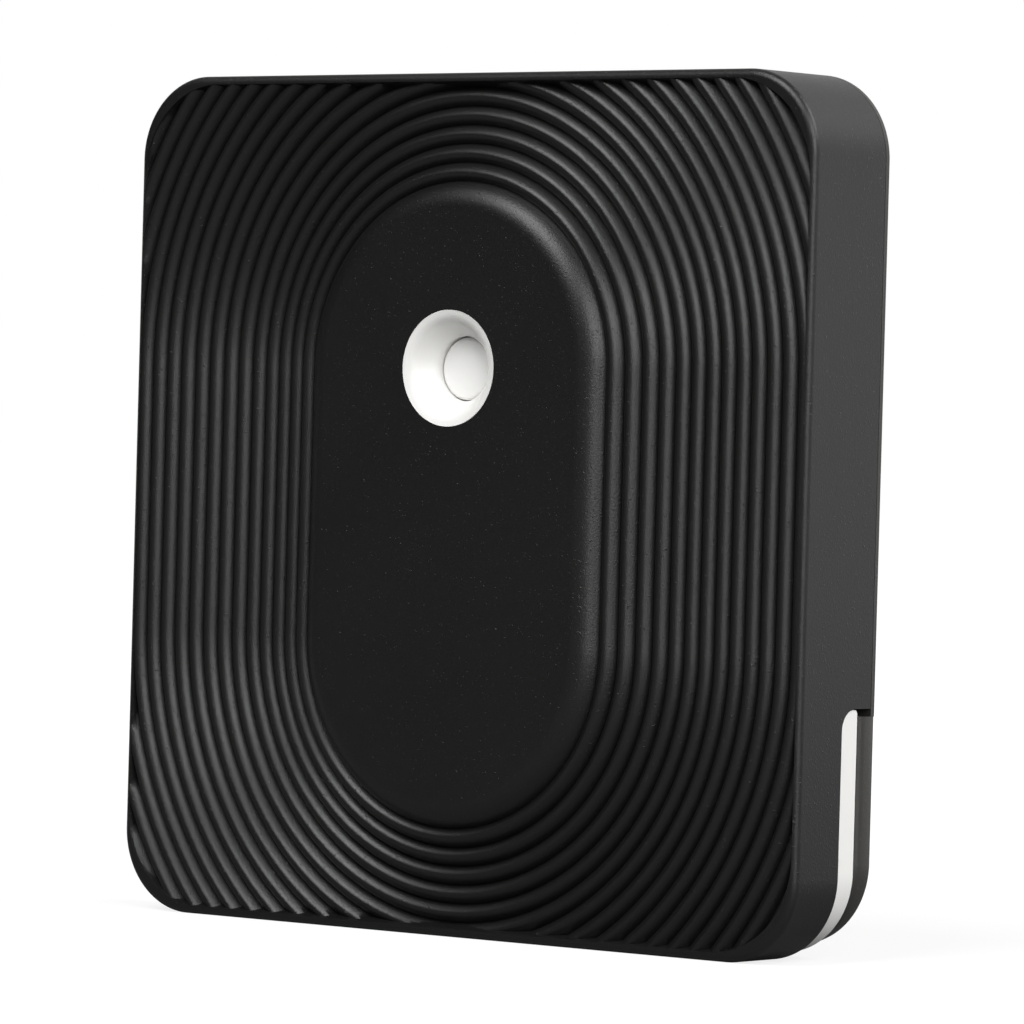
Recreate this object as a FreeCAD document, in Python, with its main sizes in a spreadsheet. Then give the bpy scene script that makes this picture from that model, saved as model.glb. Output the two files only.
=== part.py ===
import FreeCAD, Part
import math
import os

import Sketcher
from FreeCAD import Placement, Rotation, Vector

# Temperature and humidity sensor: a thin square housing that stands on one edge or lies against
# a wall. Every piece is drawn lying on its back: local X is the width, local Y the height, and
# local Z the level above the wall face, so the front of the housing points up while it is drawn.
# Each piece is then stood up with one placement, and its front faces -Y.

# Driving dimensions in millimetres, one cell each
SIZES = {
    # Housing
    "body_width": 45.0,
    "body_height": 45.0,
    "body_depth": 6.5,
    "corner_radius": 4.4,
    "edge_bevel": 0.3,
    "side_wall": 1.2,
    "front_wall": 1.4,
    "fit_gap": 0.15,
    "seam_gap": 0.04,
    "seat_gap": 0.05,
    # Raised plateau and the ripples around it
    "stadium_half": 7.1,
    "plateau_radius": 8.35,
    "plateau_rise": 0.9,
    "first_valley": 9.75,
    "ripple_pitch": 0.983,
    "ripple_depth": 0.4,
    "crest_width": 0.36,
    "dish_radius": 14.6,
    "dish_depth": 0.3,
    "dish_rise": 0.45,
    "dish_slope": 0.044,
    "rim_flat": 0.1,
    "border_angle": 32.0,
    "border_margin": 0.3,
    "shoulder_run": 1.2,
    "shoulder_drop": 0.62,
    # Core under the plateau
    "core_radius": 6.8,
    "core_depth": 0.8,
    "collar_radius": 4.4,
    # Button well and button
    "well_radius": 3.03,
    "well_land": 0.48,
    "well_land_drop": 0.12,
    "well_depth": 1.3,
    "well_knee_radius": 1.95,
    "well_knee_depth": 0.8,
    "well_gap": 0.03,
    "button_radius": 1.6,
    "button_gap": 0.1,
    "button_recess": 1.56,
    "button_chamfer": 0.12,
    "flange_radius": 2.3,
    "flange_share": 0.26,
    "nub_radius": 0.9,
    "nub_share": 0.1,
    "guide_radius": 2.5,
    "guide_wall": 0.6,
    "guide_switch_gap": 0.18,
    # Finger notch round the lower edge
    "notch_top": 9.6,
    "notch_level": 2.85,
    "notch_radius": 1.1,
    "band_recess": 0.1,
    "band_lift": 0.3,
    "band_corner": 0.25,
    # Inner frame
    "frame_floor": 0.6,
    "frame_wall": 0.9,
    "skirt_level": 1.43,
    "cell_ring_gap": 0.25,
    "cell_ring_wall": 0.8,
    "ring_board_gap": 0.2,
    "ring_opening": 5.6,
    "vent_width": 3.0,
    "vent_height": 0.8,
    "vent_pitch": 5.0,
    "vent_level": 2.1,
    # Screw towers
    "tower_spacing_x": 32.0,
    "tower_spacing_y": 32.0,
    "boss_radius": 1.7,
    "boss_seat": 0.1,
    "pilot_radius": 0.8,
    "pilot_depth": 0.1,
    "boss_gap": 0.2,
    "tower_wall": 0.6,
    "tower_lid": 0.55,
    "screw_radius": 0.75,
    "screw_hole_gap": 0.15,
    "screw_end_gap": 0.2,
    "screw_head_radius": 1.4,
    "screw_head": 0.7,
    # Rear cover
    "flange_edge": 0.38,
    "cover_bevel": 0.25,
    "lip_bevel": 0.35,
    "lip_gap": 0.4,
    "cover_floor": 0.8,
    "cover_rim": 1.15,
    "hook_width": 4.0,
    "hook_thick": 0.8,
    "hook_spacing": 22.0,
    "hook_board_gap": 0.15,
    "hook_gap": 0.1,
    "bead_height": 0.07,
    "bead_drop": 0.25,
    "pad_ring_inset": 2.6,
    "pad_ring_wall": 0.8,
    # Circuit board
    "board_rear_share": 0.475,
    "board_thick": 0.8,
    "board_gap": 0.35,
    "board_corner": 1.7,
    "board_hole_gap": 0.4,
    "tongue_width": 4.0,
    "tongue_slot": 0.8,
    "tongue_length": 2.7,
    # Coin cell
    "cell_edge_gap": 6.2,
    "cell_button_gap": 3.4,
    "cell_level": 1.05,
    "can_wall": 0.25,
    "can_chamfer": 0.3,
    "crimp_width": 0.5,
    "crimp_lap": 0.35,
    "cap_inset": 1.2,
    "cap_shoulder": 0.3,
    "cap_lift": 0.75,
    "seal_gap": 0.06,
    "electrode_gap": 0.1,
    # Push switch
    "switch_width": 3.0,
    "switch_height": 2.6,
    "switch_share": 0.32,
    "switch_floor": 0.1,
    "switch_bore": 1.1,
    "switch_tab": 1.3,
    "switch_sheet": 0.1,
    "switch_slip": 0.02,
    "dome_radius": 1.0,
    "dome_crown": 0.35,
    "dome_gap": 0.04,
    "dome_sheet": 0.07,
    "dome_foot": 0.14,
    "plunger_radius": 0.7,
    "plunger_flange": 0.85,
    "plunger_flange_thick": 0.12,
    # Contacts
    "contact_gap": 0.05,
    "leaf_thick": 0.15,
    "leaf_width": 5.0,
    "leaf_foot": 2.2,
    "leaf_tongue": 1.3,
    "leaf_slot": 0.6,
    "clip_thick": 0.2,
    "clip_width": 4.0,
    "clip_rise": 0.7,
    "clip_foot": 2.8,
    "clip_short": 0.35,
    # Parts soldered to the board, with their distances from the housing's upper edge
    "tall_part_gap": 0.3,
    "radio_side": 5.0,
    "radio_thick": 0.85,
    "radio_across": 6.4,
    "radio_drop": 11.9,
    "mark_radius": 0.3,
    "mark_inset": 0.9,
    "mark_depth": 0.1,
    "crystal_width": 3.2,
    "crystal_height": 2.5,
    "crystal_base": 0.3,
    "crystal_lid": 0.35,
    "crystal_step": 0.2,
    "crystal_across": 0.6,
    "crystal_drop": 9.9,
    "antenna_width": 7.0,
    "antenna_height": 1.8,
    "antenna_drop": 4.9,
    "capacitor_width": 3.5,
    "capacitor_height": 2.8,
    "capacitor_across": 7.6,
    "capacitor_drop": 11.1,
    "led_width": 1.6,
    "led_height": 0.8,
    "led_thick": 0.55,
    "led_gap": 0.5,
    "terminal_share": 0.2,
    "terminal_lap": 0.05,
    "humidity_side": 2.5,
    "humidity_thick": 0.9,
    "humidity_port": 0.55,
    "humidity_port_depth": 0.3,
    "humidity_edge": 1.55,
    "passive_width": 1.0,
    "passive_height": 0.5,
    "passive_thick": 0.45,
    "passive_pitch": 1.7,
    "passive_row_drop": 15.9,
    "passive_top_drop": 7.5,
    "passive_start": 3.6,
}

doc = FreeCAD.newDocument("sensor")
sheet = doc.addObject("Spreadsheet::Sheet", "Sizes")
for row, (alias, number) in enumerate(SIZES.items(), start=1):
    sheet.set(f"A{row}", alias)
    sheet.set(f"B{row}", str(number))
    sheet.setAlias(f"B{row}", alias)
doc.recompute()


class Size:
    """A length as a number and as the sheet expression that gives it."""

    def __init__(self, value, text):
        self.value = value
        self.text = text

    def __add__(self, other):
        return joined(self, other, "+", lambda a, b: a + b)

    def __radd__(self, other):
        return joined(other, self, "+", lambda a, b: a + b)

    def __sub__(self, other):
        return joined(self, other, "-", lambda a, b: a - b)

    def __rsub__(self, other):
        return joined(other, self, "-", lambda a, b: a - b)

    def __mul__(self, other):
        return joined(self, other, "*", lambda a, b: a * b)

    def __rmul__(self, other):
        return joined(other, self, "*", lambda a, b: a * b)

    def __truediv__(self, other):
        return joined(self, other, "/", lambda a, b: a / b)

    def __neg__(self):
        return 0 - self


def sized(value):
    """A plain number or a Size as a Size."""
    return value if isinstance(value, Size) else Size(float(value), f"{float(value):.6f}")


def joined(left, right, sign, rule):
    """Two sizes joined by one sign of arithmetic."""
    left = sized(left)
    right = sized(right)
    return Size(rule(left.value, right.value), f"({left.text} {sign} {right.text})")


def squared(size):
    """A size times itself."""
    return size * size


def cell(alias):
    """The size held by one cell of the sheet."""
    return Size(float(sheet.get(alias)), f"Sizes.{alias}")


def bind(thing, prop, size):
    """Tie a property to the sheet."""
    thing.setExpression(prop, sized(size).text)


# Levels above the wall face, front to back
plateau_level = cell("body_depth") + cell("plateau_rise")
shell_inner = cell("body_depth") - cell("front_wall")
shell_rear = cell("flange_edge") + cell("seam_gap")
frame_front = shell_inner - cell("seat_gap")
frame_rear = frame_front - cell("frame_floor")
board_room = frame_rear - cell("cover_floor") - cell("board_thick")
board_rear = cell("cover_floor") + board_room * cell("board_rear_share")
board_front = board_rear + cell("board_thick")
button_top = plateau_level - cell("button_recess")
cell_front = frame_rear - cell("leaf_thick") - cell("contact_gap")
lip_level = cell("skirt_level") - cell("seat_gap") - cell("seam_gap")
boss_end = board_front + cell("tower_lid") + cell("boss_seat")

# The button and the switch share the room between the board and the frame's floor
switch_room = frame_rear - board_front
flange_front = frame_rear - cell("seat_gap")
flange_rear = flange_front - switch_room * cell("flange_share")
nub_level = flange_rear - switch_room * cell("nub_share")
switch_front = board_front + switch_room * cell("switch_share")
switch_lid = switch_front + cell("switch_slip") + cell("switch_sheet")

# Half widths and half heights of the nested outlines
half_width = cell("body_width") / 2
half_height = cell("body_height") / 2
frame_inset = cell("side_wall") + cell("fit_gap")
cavity_inset = frame_inset + cell("frame_wall")
board_inset = cavity_inset + cell("board_gap")

# Places across the front
button_height = cell("stadium_half")
cell_low = cell("cell_edge_gap") - half_height
cell_radius = (button_height - cell("cell_button_gap") - cell_low) / 2
cell_height = cell_low + cell_radius
button_bore = cell("button_radius") + cell("button_gap")
tower_places = [(side * cell("tower_spacing_x") / 2, side * cell("tower_spacing_y") / 2) for side in (-1, 1)]
WIDE = 2.0
TINY = 1e-4
SHOULDER_STEPS = 3


def stand_up(part, across=0, up=0, level=0):
    """Stand a piece on its edge, with its own origin at a place on the lying housing."""
    part.Placement = Placement(Vector(0, 0, 0), Rotation(Vector(1, 0, 0), 90))
    bind(part, ".Placement.Base.x", across)
    bind(part, ".Placement.Base.y", plateau_level / 2 - level)
    bind(part, ".Placement.Base.z", half_height + up)


def new_body(label):
    """An empty body with its label."""
    body = doc.addObject("PartDesign::Body", label)
    body.Label = label
    return body


def origin_item(body, role):
    """One plane or axis of a body's own origin."""
    return next(item for item in body.Origin.OriginFeatures if item.Role == role)


def new_sketch(body, name, role="XY_Plane", lift=0):
    """A sketch on an origin plane of its body, moved along the plane's normal."""
    sketch = body.newObject("Sketcher::SketchObject", name)
    sketch.AttachmentSupport = [(origin_item(body, role), "")]
    sketch.MapMode = "FlatFace"
    bind(sketch, ".AttachmentOffset.Base.z", lift)
    return sketch


def pin_point(sketch, curve, end, across, up):
    """Hold one end of a curve at its place."""
    for kind, size in (("DistanceX", across), ("DistanceY", up)):
        size = sized(size)
        index = sketch.addConstraint(Sketcher.Constraint(kind, curve, end, size.value))
        bind(sketch, f"Constraints[{index}]", size)


def hold_radius(sketch, curve, radius):
    """Hold the radius of a circle or arc."""
    radius = sized(radius)
    index = sketch.addConstraint(Sketcher.Constraint("Radius", curve, radius.value))
    bind(sketch, f"Constraints[{index}]", radius)


def flat_vector(across, up):
    """A sketch point as a vector."""
    return Vector(sized(across).value, sized(up).value, 0)


def draw_outline(sketch, points, arcs=None):
    """Draw a closed outline through points; arcs maps a side's index to its centre."""
    arcs = arcs or {}
    first = sketch.GeometryCount
    count = len(points)
    for side, (start, stop) in enumerate(zip(points, points[1:] + points[:1])):
        begin = flat_vector(*start)
        end = flat_vector(*stop)
        if side in arcs:
            centre = flat_vector(*arcs[side][:2])
            radius = (begin - centre).Length
            middle = (begin + end) / 2 - centre
            crown = centre + middle.normalize() * radius
            sketch.addGeometry(Part.Arc(begin, crown, end))
        else:
            sketch.addGeometry(Part.LineSegment(begin, end))
    for side in range(count):
        curve = first + side
        follower = first + (side + 1) % count
        stop_end = arc_ends(sketch, curve, points[(side + 1) % count])
        start_end = arc_ends(sketch, follower, points[(side + 1) % count])
        sketch.addConstraint(Sketcher.Constraint("Coincident", curve, stop_end, follower, start_end))
    for side in range(count):
        curve = first + side
        pin_point(sketch, curve, arc_ends(sketch, curve, points[side]), *points[side])
        if side in arcs:
            hold_radius(sketch, curve, arcs[side][2])


def arc_ends(sketch, curve, point):
    """Which end of a curve lies on a point: 1 for its start, 2 for its end."""
    start = sketch.getPoint(curve, 1)
    return 1 if (start - flat_vector(*point)).Length < TINY else 2


def draw_rounded(sketch, across, up, radius):
    """Draw a rectangle round the origin with rounded corners, from its half sizes."""
    points = []
    arcs = {}
    for turn, (sx, sy) in enumerate(((1, 1), (-1, 1), (-1, -1), (1, -1))):
        side_end = (sx * across, sy * (up - radius))
        top_end = (sx * (across - radius), sy * up)
        points += [side_end, top_end] if sx == sy else [top_end, side_end]
        arcs[2 * turn] = (sx * (across - radius), sy * (up - radius), radius)
    draw_outline(sketch, points, arcs)


def draw_stadium(sketch, radius, half_length):
    """Draw an upright stadium round the origin."""
    radius = sized(radius)
    half_length = sized(half_length)
    ends = [(radius, -half_length), (radius, half_length), (-radius, half_length), (-radius, -half_length)]
    begins = [flat_vector(*point) for point in ends]
    top = flat_vector(0, half_length + radius)
    bottom = flat_vector(0, -half_length - radius)
    sketch.addGeometry(Part.LineSegment(begins[0], begins[1]))
    sketch.addGeometry(Part.Arc(begins[1], top, begins[2]))
    sketch.addGeometry(Part.LineSegment(begins[2], begins[3]))
    sketch.addGeometry(Part.Arc(begins[3], bottom, begins[0]))
    for curve in range(4):
        point = ends[(curve + 1) % 4]
        follower = (curve + 1) % 4
        sketch.addConstraint(Sketcher.Constraint(
            "Coincident", curve, arc_ends(sketch, curve, point), follower, arc_ends(sketch, follower, point)))
    for curve in range(4):
        pin_point(sketch, curve, arc_ends(sketch, curve, ends[curve]), *ends[curve])
    for curve, height in ((1, half_length), (3, -half_length)):
        index = sketch.addConstraint(Sketcher.Constraint("DistanceY", curve, 3, height.value))
        bind(sketch, f"Constraints[{index}]", height)


def draw_circle(sketch, radius, across=0, up=0):
    """Draw a circle."""
    curve = sketch.addGeometry(Part.Circle(flat_vector(across, up), Vector(0, 0, 1), sized(radius).value))
    pin_point(sketch, curve, 3, across, up)
    hold_radius(sketch, curve, radius)


def draw_box(sketch, low, high):
    """Draw an upright rectangle between two corners."""
    draw_outline(sketch, [low, (high[0], low[1]), high, (low[0], high[1])])


def add_feature(body, kind, name, sketch):
    """A sketch based feature at the end of a body."""
    feature = body.newObject(f"PartDesign::{kind}", name)
    feature.Profile = sketch
    return feature


def raise_pad(body, name, sketch, length):
    """Raise a sketch along its plane's normal."""
    feature = add_feature(body, "Pad", name, sketch)
    bind(feature, "Length", length)
    doc.recompute()
    return feature


def spread_pad(body, name, sketch, length):
    """Raise a sketch equally to both sides of its plane."""
    feature = add_feature(body, "Pad", name, sketch)
    feature.SideType = "Symmetric"
    bind(feature, "Length", length)
    doc.recompute()
    return feature


def checked_cut(body, feature, before):
    """Recompute and make sure that a cut took material away."""
    doc.recompute()
    if not feature.Shape.Volume < before - TINY:
        raise RuntimeError(f"{body.Label}: {feature.Label} cuts nothing")
    return feature


def cut_pocket(body, name, sketch, length):
    """Cut a sketch along its plane's normal."""
    before = body.Shape.Volume
    feature = add_feature(body, "Pocket", name, sketch)
    feature.Reversed = True
    bind(feature, "Length", length)
    return checked_cut(body, feature, before)


def cut_across(body, name, sketch, length):
    """Cut a sketch equally to both sides of its plane."""
    before = body.Shape.Volume
    feature = add_feature(body, "Pocket", name, sketch)
    feature.SideType = "Symmetric"
    bind(feature, "Length", length)
    return checked_cut(body, feature, before)


def cut_round(body, name, sketch, angle=360):
    """Cut a sketch turned about its own upright axis."""
    before = body.Shape.Volume
    feature = add_feature(body, "Groove", name, sketch)
    feature.ReferenceAxis = (sketch, ["V_Axis"])
    feature.Angle = angle
    return checked_cut(body, feature, before)


def turn_round(body, name, sketch):
    """Turn a sketch about its own upright axis."""
    feature = add_feature(body, "Revolution", name, sketch)
    feature.ReferenceAxis = (sketch, ["V_Axis"])
    feature.Angle = 360
    doc.recompute()
    return feature


def mirror_last(body, name, original, role):
    """Repeat a feature on the other side of an origin plane."""
    feature = body.newObject("PartDesign::Mirrored", name)
    feature.Originals = [original]
    feature.MirrorPlane = (origin_item(body, role), [""])
    body.Tip = feature
    doc.recompute()
    return feature


def level_edges(feature, level):
    """Names of the edges that lie flat at one level."""
    height = sized(level).value
    names = []
    for index, edge in enumerate(feature.Shape.Edges, start=1):
        box = edge.BoundBox
        if abs(box.ZMin - height) < TINY and abs(box.ZMax - height) < TINY:
            names.append(f"Edge{index}")
    return names


def bevel_edges(body, name, feature, level, size):
    """Bevel every edge of a feature that lies at one level."""
    bevel = body.newObject("PartDesign::Chamfer", name)
    bevel.Base = (feature, level_edges(feature, level))
    bind(bevel, "Size", size)
    body.Tip = bevel
    doc.recompute()
    return bevel


def turned_piece(label, points, arcs=None, across=0, up=0):
    """A round piece from its half outline, with its axis at a place on the housing."""
    body = new_body(label)
    sketch = new_sketch(body, f"{label}_outline", "XZ_Plane")
    draw_outline(sketch, points, arcs)
    turn_round(body, f"{label}_turned", sketch)
    stand_up(body, across, up)
    return body


# Ripple profile, from the middle of the front outwards
def ripple_reach():
    """Distance from an arc centre of the stadium to the farthest corner of the ripple field."""
    inset = cell("edge_bevel") + cell("rim_flat")
    corner = cell("corner_radius").value - inset.value
    across = half_width.value - inset.value - corner
    up = half_height.value - inset.value - corner - cell("stadium_half").value
    return math.hypot(across, up) + corner


def dish_level(radius):
    """Level of the ripple crests: a hollow that falls from the plateau's foot and rises to the rim."""
    if radius.value < cell("dish_radius").value:
        share = (cell("dish_radius") - radius) / (cell("dish_radius") - cell("first_valley"))
        fall = cell("dish_depth") + cell("dish_rise")
        return cell("body_depth") - cell("dish_depth") + fall * squared(share)
    return cell("body_depth") - cell("dish_depth") + cell("dish_slope") * (radius - cell("dish_radius"))


def draw_ground(sketch, base):
    """Draw half of the front relief: plateau, rounded shoulder and every ripple."""
    count = math.ceil((ripple_reach() - cell("first_valley").value) / cell("ripple_pitch").value) + 1
    points = [(sized(0), base), (sized(0), plateau_level), (cell("plateau_radius"), plateau_level)]
    for step in range(1, SHOULDER_STEPS + 1):
        share = sized(step / SHOULDER_STEPS)
        points.append((cell("plateau_radius") + cell("shoulder_run") * share,
                       plateau_level - cell("shoulder_drop") * squared(share)))
    for wave in range(count):
        valley = cell("first_valley") + wave * cell("ripple_pitch")
        crest = valley + cell("ripple_pitch") / 2
        points.append((valley, dish_level(valley) - cell("ripple_depth")))
        for edge in (crest - cell("crest_width") / 2, crest + cell("crest_width") / 2):
            points.append((edge, dish_level(crest)))
    points.append((points[-1][0], base))
    draw_outline(sketch, points)


def make_ripple_air():
    """The space in front of the ripples, bounded by a sloping border inside the rim."""
    body = new_body("ripple_air")
    inset = cell("edge_bevel") + cell("rim_flat")
    depth = cell("dish_depth") + cell("ripple_depth") + cell("border_margin")
    slope = math.tan(math.radians(cell("border_angle").value))
    spread = depth * slope
    border = new_sketch(body, "border_outline", "XY_Plane", cell("body_depth") - depth)
    draw_rounded(border, half_width - inset - spread, half_height - inset - spread,
                 cell("corner_radius") - inset - spread)
    block = add_feature(body, "Pad", "border_block", border)
    bind(block, "Length", depth + cell("plateau_rise") + cell("border_margin"))
    bind(block, "TaperAngle", cell("border_angle"))
    doc.recompute()
    base = cell("body_depth") - depth - cell("border_margin")
    middle = new_sketch(body, "ground_side", "XZ_Plane")
    draw_ground(middle, base)
    side = cut_across(body, "ground_side_cut", middle, 2 * cell("stadium_half"))
    mirror_last(body, "ground_other_side", side, "YZ_Plane")
    end = new_sketch(body, "ground_end", "XZ_Plane", -cell("stadium_half"))
    draw_ground(end, base)
    upper = cut_round(body, "ground_end_cut", end, 180)
    mirror_last(body, "ground_other_end", upper, "XZ_Plane")
    return body


def draw_notch(sketch, top, front, radius):
    """Side view of the finger notch: open below and behind, with one rounded corner."""
    low = -half_height - WIDE
    points = [(low, sized(-WIDE)), (top, sized(-WIDE)), (top, front - radius), (top - radius, front), (low, front)]
    draw_outline(sketch, points, {2: (top - radius, front - radius, radius)})


def make_front_shell():
    """Black front moulding with the ripple field."""
    body = new_body("shell_blank")
    outline = new_sketch(body, "shell_outline", "XY_Plane", shell_rear)
    draw_rounded(outline, half_width, half_height, cell("corner_radius"))
    block = raise_pad(body, "shell_block", outline, cell("body_depth") - shell_rear)
    bevel_edges(body, "shell_edge", block, cell("body_depth"), cell("edge_bevel"))

    apron = new_sketch(body, "apron_outline", "XY_Plane", cell("body_depth"))
    draw_stadium(apron, cell("dish_radius"), cell("stadium_half"))
    raise_pad(body, "apron", apron, cell("plateau_rise"))

    cavity = new_sketch(body, "cavity_outline", "XY_Plane", shell_rear)
    draw_rounded(cavity, half_width - cell("side_wall"), half_height - cell("side_wall"),
                 cell("corner_radius") - cell("side_wall"))
    cut_pocket(body, "cavity", cavity, shell_inner - shell_rear)

    core = new_sketch(body, "core_outline", "XY_Plane", shell_inner)
    draw_stadium(core, cell("core_radius"), cell("stadium_half"))
    draw_circle(core, cell("collar_radius"), 0, button_height)
    cut_pocket(body, "plateau_core", core, cell("core_depth"))

    hole = new_sketch(body, "well_hole_outline", "XY_Plane", shell_inner)
    draw_circle(hole, cell("well_radius") + cell("well_gap"), 0, button_height)
    cut_pocket(body, "well_hole", hole, cell("front_wall") + cell("plateau_rise"))

    notch = new_sketch(body, "notch_outline", "YZ_Plane")
    draw_notch(notch, -cell("notch_top"), cell("notch_level"), cell("notch_radius"))
    cut_across(body, "notch", notch, 2 * (half_width + WIDE))

    bosses = new_sketch(body, "boss_outline", "XY_Plane", boss_end)
    for place in tower_places:
        draw_circle(bosses, cell("boss_radius"), *place)
    raise_pad(body, "bosses", bosses, shell_inner - boss_end)
    pilots = new_sketch(body, "pilot_outline", "XY_Plane", boss_end)
    for place in tower_places:
        draw_circle(pilots, cell("pilot_radius"), *place)
    cut_pocket(body, "pilots", pilots, shell_inner - boss_end + cell("pilot_depth"))

    shell = doc.addObject("Part::Cut", "front_shell")
    shell.Label = "front_shell"
    shell.Base = body
    shell.Tool = make_ripple_air()
    stand_up(shell)
    return shell


def make_inner_frame():
    """White frame: the band in the notch, the button well, screw towers and the cell's ring."""
    body = new_body("inner_frame")
    band_front = cell("notch_level") - cell("seat_gap")
    band_top = -cell("notch_top") - cell("seat_gap")
    band = new_sketch(body, "band_outline", "XY_Plane", cell("skirt_level"))
    draw_rounded(band, half_width - cell("band_recess"), half_height - cell("band_lift"),
                 cell("corner_radius") - cell("band_recess"))
    raise_pad(body, "band", band, band_front - cell("skirt_level"))
    trim = new_sketch(body, "band_trim_outline", "YZ_Plane")
    round_front = cell("notch_radius") - cell("seat_gap")
    round_rear = cell("band_corner")
    high = half_height + WIDE
    low_level = cell("skirt_level") - WIDE
    points = [(band_top - round_front, band_front + WIDE), (band_top - round_front, band_front),
              (band_top, band_front - round_front), (band_top, cell("skirt_level") + round_rear),
              (band_top - round_rear, cell("skirt_level")), (band_top - round_rear, low_level),
              (high, low_level), (high, band_front + WIDE)]
    draw_outline(trim, points, {
        1: (band_top - round_front, band_front - round_front, round_front),
        3: (band_top - round_rear, cell("skirt_level") + round_rear, round_rear)})
    cut_across(body, "band_trim", trim, 2 * (half_width + WIDE))

    outline = new_sketch(body, "skirt_outline", "XY_Plane", cell("skirt_level"))
    draw_rounded(outline, half_width - frame_inset, half_height - frame_inset,
                 cell("corner_radius") - frame_inset)
    raise_pad(body, "skirt", outline, frame_front - cell("skirt_level"))
    cavity = new_sketch(body, "frame_cavity_outline", "XY_Plane", cell("skirt_level"))
    draw_rounded(cavity, half_width - cavity_inset, half_height - cavity_inset,
                 cell("corner_radius") - cavity_inset)
    cut_pocket(body, "frame_cavity", cavity, frame_rear - cell("skirt_level"))

    bore = cell("boss_radius") + cell("boss_gap")
    towers = new_sketch(body, "tower_outline", "XY_Plane", board_front)
    for place in tower_places:
        draw_circle(towers, bore + cell("tower_wall"), *place)
    raise_pad(body, "towers", towers, frame_rear - board_front)
    bores = new_sketch(body, "tower_bore_outline", "XY_Plane", board_front + cell("tower_lid"))
    for place in tower_places:
        draw_circle(bores, bore, *place)
    cut_pocket(body, "tower_bores", bores, frame_front - board_front - cell("tower_lid"))
    holes = new_sketch(body, "tower_hole_outline", "XY_Plane", board_front)
    for place in tower_places:
        draw_circle(holes, cell("screw_radius") + cell("screw_hole_gap"), *place)
    cut_pocket(body, "tower_holes", holes, cell("tower_lid"))

    ring_end = board_front + cell("ring_board_gap")
    ring = new_sketch(body, "cell_ring_outline", "XY_Plane", ring_end)
    ring_inner = cell_radius + cell("cell_ring_gap")
    draw_circle(ring, ring_inner, 0, cell_height)
    draw_circle(ring, ring_inner + cell("cell_ring_wall"), 0, cell_height)
    raise_pad(body, "cell_ring", ring, frame_rear - ring_end)
    gaps = new_sketch(body, "ring_gap_outline", "XY_Plane", ring_end)
    gap_half = ring_inner + cell("cell_ring_wall") + cell("fit_gap")
    draw_box(gaps, (-gap_half, cell_height - cell("ring_opening") / 2),
             (gap_half, cell_height + cell("ring_opening") / 2))
    cut_pocket(body, "ring_gaps", gaps, frame_rear - ring_end)

    guide_end = switch_lid + cell("guide_switch_gap")
    guide = new_sketch(body, "guide_outline", "XY_Plane", guide_end)
    draw_circle(guide, cell("guide_radius"), 0, button_height)
    draw_circle(guide, cell("guide_radius") + cell("guide_wall"), 0, button_height)
    raise_pad(body, "button_guide", guide, frame_rear - guide_end)
    well = new_sketch(body, "well_outline", "XY_Plane", frame_front)
    draw_circle(well, cell("well_radius"), 0, button_height)
    raise_pad(body, "well", well, plateau_level - frame_front)
    edge = cell("well_radius")
    funnel = new_sketch(body, "funnel_outline", "XZ_Plane", -button_height)
    funnel_points = [(sized(0), frame_rear - WIDE), (button_bore, frame_rear - WIDE),
                     (button_bore, plateau_level - cell("well_depth")),
                     (cell("well_knee_radius"), plateau_level - cell("well_knee_depth")),
                     (edge - cell("well_land"), plateau_level - cell("well_land_drop")), (edge, plateau_level),
                     (edge, plateau_level + WIDE), (sized(0), plateau_level + WIDE)]
    draw_outline(funnel, funnel_points)
    cut_round(body, "funnel", funnel)

    vents = new_sketch(body, "vent_outline", "XZ_Plane", half_height + WIDE)
    vent_left = -cell("vent_pitch") - cell("vent_width") / 2
    draw_box(vents, (vent_left, cell("vent_level") - cell("vent_height") / 2),
             (vent_left + cell("vent_width"), cell("vent_level") + cell("vent_height") / 2))
    before = body.Shape.Volume
    vent = add_feature(body, "Pocket", "vent", vents)
    bind(vent, "Length", cavity_inset + WIDE + WIDE)
    checked_cut(body, vent, before)
    pattern = body.newObject("PartDesign::LinearPattern", "vents")
    pattern.Originals = [vent]
    pattern.Direction = (origin_item(body, "X_Axis"), [""])
    pattern.Occurrences = 3
    bind(pattern, "Length", 2 * cell("vent_pitch"))
    body.Tip = pattern
    doc.recompute()
    stand_up(body)
    return body


def make_button_cap():
    """White push button: disc, shaft, retaining flange and the nub that works the switch."""
    radius = cell("button_radius")
    chamfer = cell("button_chamfer")
    points = [(sized(0), nub_level), (cell("nub_radius"), nub_level), (cell("nub_radius"), flange_rear),
              (cell("flange_radius"), flange_rear), (cell("flange_radius"), flange_front),
              (radius, flange_front), (radius, button_top - chamfer), (radius - chamfer, button_top),
              (sized(0), button_top)]
    return turned_piece("button_cap", points, None, 0, button_height)


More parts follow.
